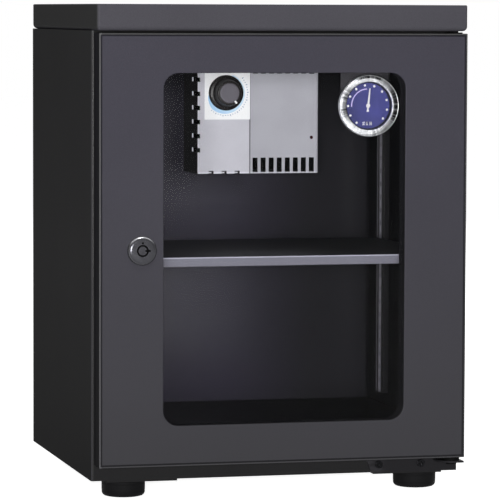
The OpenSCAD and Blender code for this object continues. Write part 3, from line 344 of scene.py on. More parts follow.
def shell_coat():
    """Black outside and lighter, glossier inside; painted shade darkens both in places, inside in tone and
    gloss.
    """
    paint = settings("cabinet_paint")
    f = powder_coat("shell_powder_coat", paint.shell, paint.outer_gloss)
    low, high = bounds_of("left_side_panel", "right_side_panel", "floor_panel", "ceiling_panel")
    skin_depth = Vector((0.6, 0.6, 0.6)) * MM
    inside = f.within(low + skin_depth, high - skin_depth)
    painted_low_shade_tone, painted_front_shade_tone = (0.002, 0.002, 0.0022), (0.001, 0.001, 0.001)
    bend_wide, bend_deep = 1.7 * MM, 1.4 * MM
    front = f.within(Vector((low.x - MM, low.y - MM, 0)),
                     Vector((high.x + MM, low.y + bend_deep, high.z + MM)))
    middle = f.within(Vector((low.x + bend_wide, low.y - MM, 0)),
                      Vector((high.x - bend_wide, 0, high.z + MM)))
    bend = f.math("MULTIPLY", front, f.math("SUBTRACT", 1.0, middle))
    across, height = f.axis(f.place, "X"), f.axis(f.place, "Z")
    # Painted shade inside: the lining's tone and gloss fall off towards the right, and the right wall gets a
    # darker tone still.
    painted_shade_to_right = f.ranged(across, 0, 1, -60 * MM, 100 * MM)
    wall = f.math("LESS_THAN", across, high.x - 4 * MM)
    # Painted shade inside, in tone and gloss: level faces are darker, and so is the wall near the top.
    painted_lining_shade = f.ranged(f.math("ABSOLUTE", f.axis(f.facing, "Z")), 1.0, 0.25, 0.4, 0.8)
    painted_lining_shade = f.math("MULTIPLY", painted_lining_shade, f.ranged(height, 1.0, 0.4, 320 * MM, 352 * MM))
    dryer_low, dryer_high = bounds_of("control_housing", "chamber_housing")
    # Painted shadow of the dryer on the back wall to its left, in tone and gloss.
    painted_dryer_shadow = f.ranged(across, 1.0, 0.0, dryer_low.x - 8 * MM, dryer_low.x - 50 * MM)
    level_with = f.ranged(height, 0, 1, dryer_low.z - 25 * MM, dryer_low.z + 10 * MM)
    painted_dryer_shadow = f.math("MULTIPLY", painted_dryer_shadow, level_with)
    painted_dryer_shadow = f.math("MULTIPLY", painted_dryer_shadow, f.math("LESS_THAN", across, (dryer_low.x + dryer_high.x) / 2))
    painted_lining_shade = f.math("MULTIPLY", painted_lining_shade, f.ranged(painted_dryer_shadow, 1.0, 0.42))
    sheen = f.math("MULTIPLY", f.ranged(painted_shade_to_right, paint.inner_gloss, paint.inner_gloss * 0.5), wall)
    sheen = f.math("MULTIPLY", sheen, painted_lining_shade)
    gloss = f.ranged(inside, paint.outer_gloss, sheen)
    lining = f.blend(painted_shade_to_right, paint.lining, f.blend(wall, shade(paint.lining_in_painted_shade, 0.35), paint.lining_in_painted_shade))
    plain = f.plain()
    lining = f.scaled(lining, painted_lining_shade)
    # Painted shade outside: the sides are darker low down.
    aside = f.ranged(f.math("ABSOLUTE", f.axis(f.facing, "X")), 0, 1, 0.6, 0.9)
    low_down = f.math("MULTIPLY", aside, f.ranged(height, 0.6, 0.0, 30 * MM, 200 * MM))
    plain = f.blend(low_down, plain, painted_low_shade_tone)
    # Painted shade on outer faces turned to the front, such as the plinth under the door.
    plain = f.blend(f.ranged(f.axis(f.facing, "Y"), 0.38, 0, -0.9, -0.6), plain, painted_front_shade_tone)
    f.surface({
        "Base Color": f.blend(inside, plain, lining),
        "Coat Weight": f.math("MULTIPLY_ADD", bend, paint.bend_gloss, gloss),
    })
    return f.material


def bracket_coat():
    return powder_coat("bracket_paint", settings("cabinet_paint").bracket, 0.1).material


def rail_coat():
    """Black, with painted highlights along the folds of each rail and painted shade between them."""
    paint = settings("cabinet_paint")
    f = powder_coat("rail_powder_coat", paint.rail, 0.3)
    low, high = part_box("right_shelf_rails")
    wide = 23 * MM
    along = f.axis(f.place, "Y")
    painted_fold_highlights = 0.0
    for y, share, reach in ((low.y, 0.6, 3), (low.y + wide / 2, 1.0, 4.2), (high.y - wide / 2, 1.0, 4.2),
                            (high.y, 0.8, 3.2)):
        off = f.math("ABSOLUTE", f.math("SUBTRACT", along, y))
        painted_fold_highlights = f.math("MAXIMUM", painted_fold_highlights, f.ranged(off, share, 0, (reach - 0.5) * MM, (reach + 0.5) * MM))
    plain = f.plain()
    # Painted highlights on the folds up to seven times the paint, and painted shade down to about a third of
    # it between them.
    level = f.ranged(painted_fold_highlights, 0.35, 7.0)
    f.surface({"Base Color": f.scaled(plain, level)})
    return f.material


def shelf_coat():
    """Grey on faces turned to the front, with painted shade on the tray's other faces and a painted highlight
    along the top of the lip.
    """
    paint = settings("cabinet_paint")
    f = Finish("shelf_powder_coat")
    grain = f.cloud(paint.grain, 3)
    cloud = f.cloud(0.05, 3)
    # Painted shade: faces not turned to the front get the dark tone.
    ahead = f.ranged(f.axis(f.facing, "Y"), 1, 0, -0.75, -0.3)
    tone = f.blend(ahead, paint.shelf_in_painted_shade, paint.shelf)
    low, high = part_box("shelf")
    # Painted highlight along the top edge of the front lip.
    edge = f.within(Vector((low.x - MM, low.y - MM, high.z - 0.9 * MM)),
                    Vector((high.x + MM, low.y + 2.5 * MM, high.z + MM)))
    tone = f.blend(edge, tone, shade(paint.shelf, 2.6))
    mottle = f.ranged(f.math("MULTIPLY_ADD", cloud, 0.5, grain), 0.9, 1.1, 0.5, 1.0)
    return f.surface({
        "Base Color": f.scaled(tone, mottle),
        "Roughness": f.ranged(grain, 0.36, 0.5, 0.3, 0.7),
        "Specular IOR Level": 0.1,
        "Normal": f.relief(grain, paint.relief),
    })


def worn_bracket_coat():
    """The lower hinge bracket, rubbed lighter round its first screw."""
    paint = settings("cabinet_paint")
    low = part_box("lower_hinge_bracket")[0]
    f = Finish("hinge_bracket_paint")
    grain = f.cloud(paint.grain, 3)
    scuff = f.cloud(0.006, 4, (1, 1, 2))
    along = f.ranged(f.axis(f.place, "X"), 1, 0, low.x + 12 * MM, low.x + 24 * MM)
    rubbed = f.ranged(f.math("MULTIPLY", along, scuff), 0, 1, 0.28, 0.62)
    return f.surface({
        "Base Color": f.blend(rubbed, shade(paint.bracket, 0.17), shade(paint.bracket, 0.34)),
        "Roughness": f.ranged(scuff, 0.4, 0.58, 0.3, 0.7),
        "Specular IOR Level": 0.05,
        "Normal": f.relief(grain, paint.relief),
    })


# Finishes of bare metal, rubber, plastic and glass

def bare_metal(name, colour, rough, size, stretch=(1, 1, 1), depth=0.00001):
    """Plated or drawn metal, streaked along its grain."""
    f = Finish(name)
    streak = f.cloud(size, 4, stretch)
    patch = f.cloud(0.006, 3)
    return f.surface({
        "Base Color": f.toned(colour, (streak, 0.08), (patch, 0.10)),
        "Metallic": 1.0,
        "Roughness": f.ranged(f.math("ADD", streak, patch), rough - 0.07, rough + 0.07, 0.6, 1.4),
        "Normal": f.relief(streak, depth),
    })


def zinc_plate():
    return bare_metal("zinc_plate", (0.3, 0.3, 0.31), 0.34, 0.0016)


def dark_screw_steel():
    return bare_metal("dark_screw_steel", (0.008, 0.008, 0.0088), 0.24, 0.0008)


def spring_wire():
    return bare_metal("spring_wire", (0.6, 0.6, 0.61), 0.26, 0.0009, (1, 1, 3))


def memory_wire():
    return bare_metal("memory_wire", (0.5, 0.42, 0.31), 0.3, 0.0009, (1, 1, 3))


def brass_plate():
    return bare_metal("brass_plate", (0.72, 0.56, 0.27), 0.24, 0.0012)


def coil_strip():
    return bare_metal("coil_strip", (0.58, 0.38, 0.2), 0.3, 0.0007, (1, 6, 1))


def canister_metal():
    return bare_metal("canister_metal", (0.56, 0.57, 0.59), 0.38, 0.0009, (1, 1, 8))


def heater_black():
    return moulded("heater_black", (0.0025, 0.0025, 0.0025), 0.6, gloss=0.02)


def lock_chrome():
    """Dark chrome, turned: fine rings round the lock's axis and soft tarnish, with painted shade in the
    keyway and painted light on the shoulder.
    """
    f = Finish("lock_dark_chrome")
    reach = f.off_axis(f.away_from(centre_of("lock_plug")))
    rings = f.node("TexNoise", {"W": reach, "Scale": 3400.0, "Detail": 3.0}, noise_dimensions="1D").outputs[0]
    tarnish = f.cloud(0.004, 3)
    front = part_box("lock_barrel")[0].y
    near = f.math("LESS_THAN", reach, 7.3 * MM)
    ring = f.math("GREATER_THAN", reach, 3.7 * MM)
    limit = f.ranged(ring, front + 0.9 * MM, front + 0.2 * MM)
    # Painted shade: below the face, the keyway and the dot go near black and matt.
    painted_keyway_shade = f.math("MULTIPLY", near, f.math("GREATER_THAN", f.axis(f.place, "Y"), limit))
    plate = f.toned((0.042, 0.042, 0.047), (rings, 0.14), (tarnish, 0.12))
    # Painted highlight on the upward faces of the shoulder.
    painted_top_highlight = f.ranged(f.axis(f.facing, "Z"), 0, 1, 0.3, 0.55)
    painted_top_highlight = f.math("MULTIPLY", painted_top_highlight, f.math("GREATER_THAN", reach, 8 * MM))
    plate = f.blend(painted_top_highlight, plate, (0.45, 0.45, 0.47))
    # Painted reflection: the outer rim of the shoulder is lighter.
    plate = f.blend(f.ranged(reach, 0, 0.6, 10.9 * MM, 12.2 * MM), plate, (0.16, 0.16, 0.17))
    return f.surface({
        "Base Color": f.blend(painted_keyway_shade, plate, (0.001, 0.001, 0.001)),
        "Metallic": f.ranged(painted_keyway_shade, 0.8, 0.0),
        "Roughness": f.math("MULTIPLY_ADD", painted_keyway_shade, 0.6,
                            f.ranged(f.math("ADD", rings, tarnish), 0.16, 0.24, 0.6, 1.4)),
        "Specular IOR Level": 0.1,
        "Normal": f.relief(rings, 0.000012),
    })


def black_rubber():
    f = Finish("black_rubber")
    grain = f.cloud(0.0005, 3)
    bloom = f.cloud(0.02, 3)
    return f.surface({
        "Base Color": f.toned((0.0065, 0.0065, 0.0069), (grain, 0.2), (bloom, 0.25)),
        "Roughness": f.ranged(bloom, 0.55, 0.75, 0.3, 0.7),
        "Specular IOR Level": 0.03,
        "Normal": f.relief(grain, 0.00004),
    })


def moulded(name, colour, rough=0.42, grain_size=0.0004, depth=0.000012, gloss=0.4):
    """Moulded plastic with the fine spark texture of its mould."""
    f = Finish(name)
    grain = f.cloud(grain_size, 2)
    flow = f.cloud(0.018, 2)
    return f.surface({
        "Base Color": f.toned(colour, (grain, 0.05), (flow, 0.04)),
        "Roughness": f.ranged(f.math("ADD", grain, flow), rough - 0.06, rough + 0.06, 0.6, 1.4),
        "Specular IOR Level": gloss,
        "Normal": f.relief(grain, depth),
    })


def dark_plastic():
    return moulded("dark_plastic", (0.04, 0.04, 0.043), 0.5, gloss=0.25)


def inlet_plastic():
    return moulded("inlet_plastic", (0.02, 0.02, 0.022), 0.4, 0.0006)


def shutter_plastic():
    return moulded("shutter_plastic", (0.66, 0.66, 0.68), 0.4)


def pot_plastic():
    return moulded("pot_plastic", (0.05, 0.13, 0.3), 0.35)


def board_lacquer():
    """Green solder resist, with straight tracks raised under it."""
    f = Finish("board_lacquer")
    tracks = f.node("TexBrick", {"Vector": f.stretched((1, 1, 1)), "Scale": 90.0, "Mortar Size": 0.06,
                                 "Color1": (0, 0, 0), "Color2": (0.25, 0.25, 0.25),
                                 "Mortar": (1, 1, 1)}).outputs[0]
    cloud = f.cloud(0.004, 2)
    return f.surface({
        "Base Color": f.blend(tracks, (0.012, 0.11, 0.05), (0.03, 0.22, 0.09)),
        "Roughness": f.ranged(cloud, 0.25, 0.4, 0.3, 0.7),
        "Normal": f.relief(tracks, 0.00003),
    })


def dryer_silver():
    """Silver grey on the front of the dryer, dark on its other sides, with painted highlights near the outer
    edges and painted shade at the seam.
    """
    dryer = settings("cabinet_dryer")
    f = Finish("dryer_silver_grey")
    grain = f.cloud(0.0005, 3)
    cloud = f.cloud(0.03, 2)
    ahead = f.ranged(f.axis(f.facing, "Y"), 1, 0, -0.62, -0.3)
    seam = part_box("chamber_housing")[0].x
    across = f.axis(f.place, "X")
    half = f.math("GREATER_THAN", across, seam)
    low, high = bounds_of("control_housing", "chamber_housing")
    # Painted highlight: the front is lighter near the outer edges of the two housings.
    margin = Vector((1.5, 0, 1.5)) * MM
    painted_edge_light_and_seam_shade = f.ranged(f.within(low + margin, high - margin), 1.25, 1.0)
    # Painted shade in the seam between the two halves.
    off_seam = f.math("ABSOLUTE", f.math("SUBTRACT", across, seam))
    painted_seam_shade = f.math("LESS_THAN", off_seam, 0.55 * MM)
    painted_edge_light_and_seam_shade = f.math("MULTIPLY", painted_edge_light_and_seam_shade, f.ranged(painted_seam_shade, 1.0, 0.3))
    silver = f.blend(half, f.toned(dryer.silver, (grain, 0.04), (cloud, 0.04)),
                     f.toned(dryer.silver_chamber, (grain, 0.04), (cloud, 0.04)))
    silver = f.scaled(silver, painted_edge_light_and_seam_shade)
    dark = f.toned(dryer.dark, (grain, 0.1), (cloud, 0.1))
    return f.surface({
        "Base Color": f.blend(ahead, dark, silver),
        "Roughness": f.ranged(grain, 0.4, 0.54, 0.3, 0.7),
        "Specular IOR Level": 0.04,
        "Normal": f.relief(grain, 0.00002),
    })


def scale_white():
    f = Finish("scale_white")
    sheen = f.cloud(0.012, 3)
    return f.surface({
        "Base Color": f.toned((0.92, 0.93, 0.95), (sheen, 0.015)),
        "Roughness": f.ranged(sheen, 0.3, 0.44, 0.3, 0.7),
        "Specular IOR Level": 0.35,
        "Normal": f.relief(sheen, 0.00002),
    })


def print_ink(name, colour, rough=0.42):
    """Screen printed ink, a little uneven in its cover."""
    f = Finish(name)
    cover = f.cloud(0.0007, 3)
    return f.surface({
        "Base Color": f.toned(colour, (cover, 0.08)),
        "Roughness": f.ranged(cover, rough - 0.06, rough + 0.08, 0.3, 0.7),
        "Normal": f.relief(cover, 0.000006),
    })


def band_ink():
    """Light blue, deepest at the lower left and pale towards the right."""
    dryer = settings("cabinet_dryer")
    low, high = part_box("humidity_knob")
    f = Finish("scale_band_ink")
    across = f.ranged(f.axis(f.place, "X"), 0, 1, low.x, high.x + 3 * MM)
    cover = f.cloud(0.0007, 3)
    tone = f.blend(across, dryer.band, (0.6, 0.79, 0.94))
    return f.surface({
        "Base Color": tone,
        "Roughness": f.ranged(cover, 0.36, 0.5, 0.3, 0.7),
        "Normal": f.relief(cover, 0.000006),
    })


def tick_ink():
    return print_ink("scale_tick_ink", (0.27, 0.35, 0.5))


def knob_plastic():
    return moulded("knob_black", settings("cabinet_dryer").knob, 0.35, 0.0005, 0.000006, 0.22)


def cap_plastic():
    return moulded("knob_cap_grey", settings("cabinet_dryer").cap, 0.4, 0.0006, 0.000008, 0.3)


def mark_paint():
    return print_ink("knob_mark_white", (0.85, 0.85, 0.86))


def led_lens():
    f = Finish("led_lens")
    haze = f.cloud(0.0008, 2)
    return f.surface({
        "Base Color": f.toned((0.035, 0.008, 0.01), (haze, 0.2)),
        "Roughness": f.ranged(haze, 0.12, 0.24, 0.3, 0.7),
        "Specular IOR Level": 0.3,
    })


def window_pane():
    """Clear float glass: a faint cool tint and the lightest of wiping marks."""
    f = Finish("window_glass")
    wipe = f.cloud(0.05, 4, (1, 1, 2.5))
    return f.surface({
        "Base Color": f.toned((0.012, 0.0125, 0.0135), (wipe, 0.15)),
        "Roughness": f.ranged(wipe, 0.02, 0.09, 0.35, 0.7),
        "Specular IOR Level": 0.35,
        "Alpha": 0.05,
    })


def gauge_pane():
    f = Finish("gauge_glass")
    wipe = f.cloud(0.01, 3)
    return f.surface({
        "Base Color": f.toned((0.08, 0.09, 0.1), (wipe, 0.15)),
        "Roughness": f.ranged(wipe, 0.02, 0.08, 0.35, 0.7),
        "Alpha": 0.03,
    })


def bezel_polish():
    """Bright spun metal with soft smears left by polishing round its axis, and painted dark reflections in
    patches round the ring.
    """
    f = Finish("bezel_polish")
    away = f.away_from(centre_of("gauge_bezel"))
    turn = f.math("ARCTAN2", f.axis(away, "X"), f.axis(away, "Z"))
    smear = f.node("TexNoise", {"W": turn, "Scale": 9.0, "Detail": 5.0, "Roughness": 0.7},
                   noise_dimensions="1D").outputs[0]
    pit = f.cloud(0.0012, 3)
    reach = f.off_axis(away)
    inner = f.math("LESS_THAN", reach, 26.3 * MM)
    ragged = f.math("MULTIPLY_ADD", smear, 0.5, turn)

    def between(start, full, falling, end):
        """1 between two turns round the bezel, in radians, and fading at either end."""
        return f.math("MULTIPLY", f.ranged(ragged, 0, 1, start, full),
                      f.ranged(ragged, 1, 0, falling, end))

    # Painted dark reflections in patches at the right and the top of the ring.
    right = f.math("MULTIPLY", between(1.1, 1.3, 2.3, 2.5),
                   f.ranged(reach, 0, 1, 22.3 * MM, 23.0 * MM))
    upper = f.math("MULTIPLY", between(-0.25, -0.15, 0.6, 0.75),
                   f.ranged(reach, 0, 1, 24.0 * MM, 24.6 * MM))
    painted_dark_reflections = f.math("MULTIPLY", f.math("MAXIMUM", right, upper), inner)
    painted_dark_reflections = f.math("MULTIPLY", painted_dark_reflections, f.ranged(smear, 1, 0.35, 0.45, 0.65))
    bright = f.toned((0.78, 0.79, 0.83), (smear, 0.18), (pit, 0.06))
    # Painted dark reflection at the left of the ring too.
    left = f.math("MULTIPLY", between(-2.1, -1.7, -0.8, -0.4), f.ranged(smear, 1.0, 0.62, 0.4, 0.6))
    left = f.math("MULTIPLY", left, inner)
    bright = f.blend(left, bright, (0.07, 0.072, 0.076))
    return f.surface({
        "Base Color": f.blend(painted_dark_reflections, bright, (0.03, 0.03, 0.032)),
        "Metallic": 1.0,
        "Roughness": f.ranged(f.math("ADD", smear, pit), 0.3, 0.46, 0.6, 1.4),
        "Normal": f.relief(smear, 0.0002),
    })


def gauge_black():
    return powder_coat("gauge_case_black", (0.02, 0.02, 0.022), 0.2).material


def dial_print():
    """Blue printed on brushed metal, with painted light towards the right and painted shade round its edge.
    """
    f = Finish("dial_blue")
    brush = f.cloud(0.0006, 3, (1, 1, 0.06))
    cloud = f.cloud(0.012, 2)
    away = f.away_from(centre_of("gauge_dial"))
    # Painted shade round the dial's edge, under the bezel.
    painted_rim_shade = f.ranged(f.off_axis(away), 0, 1, 19.9 * MM, 20.3 * MM)
    blue = f.toned(settings("cabinet_hygrometer").dial, (brush, 0.06), (cloud, 0.12))
    # Painted light: the blue gets lighter towards the right.
    across = f.ranged(f.axis(away, "X"), 0.86, 1.3, -14 * MM, 14 * MM)
    blue = f.scaled(blue, across)
    return f.surface({
        "Base Color": f.blend(painted_rim_shade, blue, (0.006, 0.006, 0.02)),
        "Roughness": f.ranged(brush, 0.34, 0.5, 0.3, 0.7),
        "Metallic": 0.15,
        "Normal": f.relief(brush, 0.000006),
    })


def dot_ink():
    return print_ink("dial_mark_white", settings("cabinet_hygrometer").marks)


def arc_ink():
    return print_ink("dial_arc_violet", settings("cabinet_hygrometer").arc)


def needle_paint():
    return print_ink("needle_white", (0.92, 0.91, 0.96), 0.36)


# Shared ways of making pieces

def new_piece(name, bm, finishes, body, stands_for=(), crease=38, even=True):
    """Turns a bmesh into a piece with its finish, riding on its body and standing for its nodes."""
    bmesh.ops.remove_doubles(bm, verts=bm.verts, dist=1e-6)
    bmesh.ops.recalc_face_normals(bm, faces=bm.faces)
    mesh = bpy.data.meshes.new(name)
    bm.to_mesh(mesh)
    bm.free()
    mesh.shade_smooth()
    mesh.set_sharp_from_angle(angle=math.radians(crease))
    piece = bpy.data.objects.new(name, mesh)
    bpy.context.scene.collection.objects.link(piece)
    for material in finishes:
        mesh.materials.append(material)
    if even:
        piece.modifiers.new("even shading", "WEIGHTED_NORMAL").keep_sharp = True
    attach(piece, body)
    if stands_for:
        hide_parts(*stands_for)
    return piece


def dress(material, *nodes, ease=0.0, steps=2, angle=30):
    """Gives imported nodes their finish, and rounds their edges where ease isn't nought."""
    for name in nodes:
        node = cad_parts[name]
        for place in node.material_slots:
            place.link = "OBJECT"
            place.material = material
        if ease:
            weld = node.modifiers.new("weld", "WELD")
            weld.merge_threshold = 1e-6
            flat = node.modifiers.new("flat faces", "DECIMATE")
            flat.decimate_type = "DISSOLVE"
            flat.angle_limit = math.radians(0.6)
            bevel = node.modifiers.new("eased edges", "BEVEL")
            bevel.width = ease
            bevel.segments = steps
            bevel.limit_method = "ANGLE"
            bevel.angle_limit = math.radians(angle)
            even = node.modifiers.new("even shading", "WEIGHTED_NORMAL")
            even.keep_sharp = False


def skin(bm, rings, around=True, closed=False, material=0):
    """Faces between each ring of points and the next; returns the rings' vertices."""
    made = [[bm.verts.new(point) for point in ring] for ring in rings]
    count = len(rings[0])
    pairs = list(zip(made, made[1:] + made[:1])) if closed else list(zip(made, made[1:]))
    for one, two in pairs:
        for i in range(count if around else count - 1):
            j = (i + 1) % count
            bm.faces.new((one[i], one[j], two[j], two[i])).material_index = material
    return made


def cap(bm, ring, material=0):
    bm.faces.new(ring).material_index = material


def fill_between(bm, rings, material=0):
    """Flat faces between an outer ring of vertices and the holes inside it."""
    edges = []
    for ring in rings:
        for one, two in zip(ring, ring[1:] + ring[:1]):
            edges.append(bm.edges.get((one, two)) or bm.edges.new((one, two)))
    made = bmesh.ops.triangle_fill(bm, use_beauty=True, use_dissolve=False, edges=edges)
    for item in made["geom"]:
        if isinstance(item, bmesh.types.BMFace):
            item.material_index = material


def arc(centre, radius, start, end, steps):
    """Points on an arc in a plane, angles in degrees from the first axis to the second."""
    turns = [math.radians(start + (end - start) * i / steps) for i in range(steps + 1)]
    return [(centre[0] + radius * math.cos(t), centre[1] + radius * math.sin(t)) for t in turns]


def rounded_outline(x0, z0, x1, z1, radius, steps=8):
    """A rectangle with round corners, as points in a plane."""
    radius = max(radius, 1e-5)
    points = []
    for cx, cz, start in ((x1 - radius, z1 - radius, 0), (x0 + radius, z1 - radius, 90),
                          (x0 + radius, z0 + radius, 180), (x1 - radius, z0 + radius, 270)):
        points += arc((cx, cz), radius, start, start + 90, steps)
    return points


def turned(bm, profile, centre, along, steps=64, start=0.0, material=0, closed=False):
    """Turns a profile of (radius, distance) pairs round the axis along, from a centre."""
    along = along.normalized()
    side = along.cross(UP) if abs(along.z) < 0.9 else Vector((1, 0, 0))
    side.normalize()
    other = along.cross(side)
    rings = []
    for radius, distance in profile:
        radius = max(radius, 1e-7)
        rings.append([centre + along * distance + radius * (
            side * math.cos(start + 2 * math.pi * i / steps)
            + other * math.sin(start + 2 * math.pi * i / steps)) for i in range(steps)])
    return skin(bm, rings, closed=closed, material=material)


def prism(bm, outline, place, depth, material=0):
    """A slab with the given outline: place turns (a, b) into a point, depth is its thickness vector."""
    near = [bm.verts.new(place(a, b)) for a, b in outline]
    far = [bm.verts.new(place(a, b) + depth) for a, b in outline]
    count = len(outline)
    bm.faces.new(near).material_index = material
    bm.faces.new(far[::-1]).material_index = material
    for i in range(count):
        j = (i + 1) % count
        bm.faces.new((near[j], near[i], far[i], far[j])).material_index = material


def bounds_of(*names):
    boxes = [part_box(name) for name in names]
    low = Vector([min(box[0][i] for box in boxes) for i in range(3)])
    high = Vector([max(box[1][i] for box in boxes) for i in range(3)])
    return low, high


def centre_of(name):
    low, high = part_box(name)
    return (low + high) / 2


def front_middle(name):
    """The middle of a node's front."""
    low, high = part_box(name)
    return Vector(((low.x + high.x) / 2, low.y, (low.z + high.z) / 2))


def in_mm(*pairs):
    """Pairs given in millimetres, as pairs in metres."""
    return [(a * MM, b * MM) for a, b in pairs]


def clock_point(turn, radius):
    """A point (across, up) at a turn in degrees clockwise from straight up."""
    t = math.radians(turn)
    return radius * math.sin(t), radius * math.cos(t)


def clock_axes(turn):
    """The way out along a hand at a turn in degrees, and the way across it."""
    t = math.radians(turn)
    return Vector((math.sin(t), 0, math.cos(t))), Vector((math.cos(t), 0, -math.sin(t)))


# The cabinet's shell

def bent_side(name, side, nodes):
    """One side and its front flange, folded from a single sheet with a round bend."""
    sheets = settings("cabinet_sheets")
    low, high = bounds_of(*nodes)
    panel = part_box(nodes[0])
    thick = panel[1].x - panel[0].x
    outside = low.x if side < 0 else high.x
    inner = high.x if side < 0 else low.x
    bend = sheets.side_bend
    plan = [(outside, high.y)]
    corner = (outside - side * bend, low.y + bend)
    turn = (180, 270) if side < 0 else (0, -90)
    plan += arc(corner, bend, *turn, 6)
    plan += [(inner, low.y), (inner, low.y + thick)]
    plan += arc(corner, max(bend - thick, 1e-4), *turn[::-1], 6)
    plan += [(outside - side * thick, high.y)]
    bm = bmesh.new()
    prism(bm, plan, lambda a, b: Vector((a, b, low.z)), UP * (high.z - low.z))
    return new_piece(name, bm, [finish(shell_coat)], "cabinet", nodes)


def cover_pan():
    """The pan of the top cover, rolled under at its lower edge, with a lip inside."""
    sheets = settings("cabinet_sheets")
    low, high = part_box("top_cover")
    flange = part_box("left_jamb")[0].y
    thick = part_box("head_rail")[1].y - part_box("head_rail")[0].y
    lip = 12 * MM
    corner = 2.5 * MM
    roll, bend = sheets.cover_roll, sheets.cover_bend

    def ring(inset, z, front=None):
        points = rounded_outline(low.x + inset, (low.y + inset) if front is None else front,
                                 high.x - inset, high.y - inset, corner - inset, 5)
        return [Vector((x, y, z)) for x, y in points]

    outside = [ring(bend - a, high.z - bend + b) for a, b in arc((0, 0), bend, 90, 0, 4)]
    outside += [ring(roll - a, low.z + roll + b) for a, b in arc((0, 0), roll, 0, -90, 7)]
    outside += [ring(lip, low.z, flange + lip)]
    inside = [ring(lip, low.z + thick, flange + lip)]
    inside += [ring(roll - a, low.z + roll + b) for a, b in arc((0, 0), roll - thick, -90, 0, 5)]
    inside += [ring(thick, high.z - thick)]
    bm = bmesh.new()
    made = skin(bm, outside + inside)
    cap(bm, made[0])
    cap(bm, made[-1][::-1])
    return new_piece("top_cover_pan", bm, [finish(cover_coat)], "cabinet", ["top_cover"])


class DRYCABINET_OT_shell(bpy.types.Operator):
    """Makes the bent sides and finishes the sheets of the shell"""
    bl_idname = "dry_cabinet.shell"
    bl_label = "Shell"

    def execute(self, context):
        ease = settings("cabinet_sheets").ease
        bent_side("left_side", -1, ["left_side_panel", "left_jamb"])
        bent_side("right_side", 1, ["right_side_panel", "right_jamb"])
        dress(finish(shell_coat), "back_panel", "floor_panel", "base_plate", "ceiling_panel",
              "plinth_rail", "head_rail", ease=ease)
        return {"FINISHED"}


class DRYCABINET_OT_top_cover(bpy.types.Operator):
    """Makes the top cover with its rolled edge"""
    bl_idname = "dry_cabinet.top_cover"
    bl_label = "Top Cover"

    def execute(self, context):
        cover_pan()
        return {"FINISHED"}


class DRYCABINET_OT_feet(bpy.types.Operator):
    """Makes the four turned rubber feet and finishes their plates"""
    bl_idname = "dry_cabinet.feet"
    bl_label = "Feet"

    def execute(self, context):
        profile = in_mm((0, 5), (3.6, 5), (3.7, 0.4), (4.1, 0))
        profile += in_mm(
            (15.0, 0), (16.4, 0.4), (17.4, 1.2), (18.0, 2.2), (18.25, 3.2), (18.3, 4.0),
            (18.1, 4.2), (18.1, 4.6), (18.35, 4.8), (18.45, 10.6), (18.25, 10.8), (18.25, 11.2),
            (18.5, 11.4), (18.5, 13.0), (18.1, 13.5))
        profile.append((0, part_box("feet")[1].z))
        bm = bmesh.new()
        for x, y in foot_centres():
            turned(bm, profile, Vector((x, y, 0)), UP, 56)
        new_piece("rubber_feet", bm, [finish(black_rubber)], "cabinet", ["feet"])
        dress(finish(shell_coat), "foot_plates", ease=0.3 * MM)
        return {"FINISHED"}


def foot_centres():
    """The middles of the four feet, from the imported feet's own vertices."""
    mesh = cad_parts["feet"].data
    groups = {}
    for vertex in mesh.vertices:
        key = (vertex.co.x > 0, vertex.co.y > 0)
        groups.setdefault(key, []).append(vertex.co)
    centres = []
    for key in sorted(groups):
        xs = [point.x for point in groups[key]]
        ys = [point.y for point in groups[key]]
        centres.append(((min(xs) + max(xs)) / 2, (min(ys) + max(ys)) / 2))
    return centres


# The door and its window

def door_sheet():
    """The door's front sheet: a bead and a groove round its face, a window and four returns."""
    sheets = settings("cabinet_sheets")
    low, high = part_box("door_skin")
    glass_low, glass_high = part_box("window_glass")
    thick = 1.2 * MM
    lap = 6 * MM
    lock = centre_of("lock_barrel")
    rim, groove, deep = sheets.door_rim, sheets.door_groove, sheets.groove_depth
    bend, edge = sheets.door_bend, sheets.window_bend
    corner = 0.6 * MM

    def outer(inset, back):
        points = rounded_outline(low.x + inset, low.z + inset, high.x - inset, high.z - inset,
                                 corner - inset * 0.4, 3)
        return [Vector((x, low.y + back, z)) for x, z in points]

    def window(grow, back):
        points = rounded_outline(glass_low.x + lap - grow, glass_low.z + lap - grow,
                                 glass_high.x - lap + grow, glass_high.z - lap + grow,
                                 13 * MM + grow, 12)
        return [Vector((x, low.y + back, z)) for x, z in points]

    small = 0.25 * MM
    profile = [(0, high.y - low.y)]
    profile += [(bend + a, bend + b) for a, b in arc((0, 0), bend, 180, 270, 4)]
    profile += [(rim - 0.45 * MM, 0), (rim - 0.12 * MM, 0.1 * MM), (rim, 0.3 * MM), (rim + 0.06 * MM, deep)]
    profile += [(rim + groove - 0.06 * MM, deep), (rim + groove, 0.3 * MM),
                (rim + groove + 0.1 * MM, 0.08 * MM), (rim + groove + small, 0)]
    bm = bmesh.new()
    front = skin(bm, [outer(*point) for point in profile])
    throat = [(edge + a, edge + b) for a, b in arc((0, 0), edge, 270, 180, 5)]
    window_rings = skin(bm, [window(*point) for point in throat] + [window(0, thick)])
    inner = skin(bm, [outer(thick, thick), outer(thick, high.y - low.y - small),
                      outer(thick - small, high.y - low.y)])
    hole = turned(bm, [(9.7 * MM, 0), (9.7 * MM, thick)], Vector((lock.x, low.y, lock.z)), -AHEAD, 40)
    fill_between(bm, [front[-1], window_rings[0], hole[0]])
    fill_between(bm, [inner[0], window_rings[-1], hole[1]])
    for i in range(len(front[0])):
        j = (i + 1) % len(front[0])
        bm.faces.new((front[0][j], front[0][i], inner[-1][i], inner[-1][j]))
    return new_piece("door_sheet", bm, [finish(door_coat)], "door", ["door_skin"])


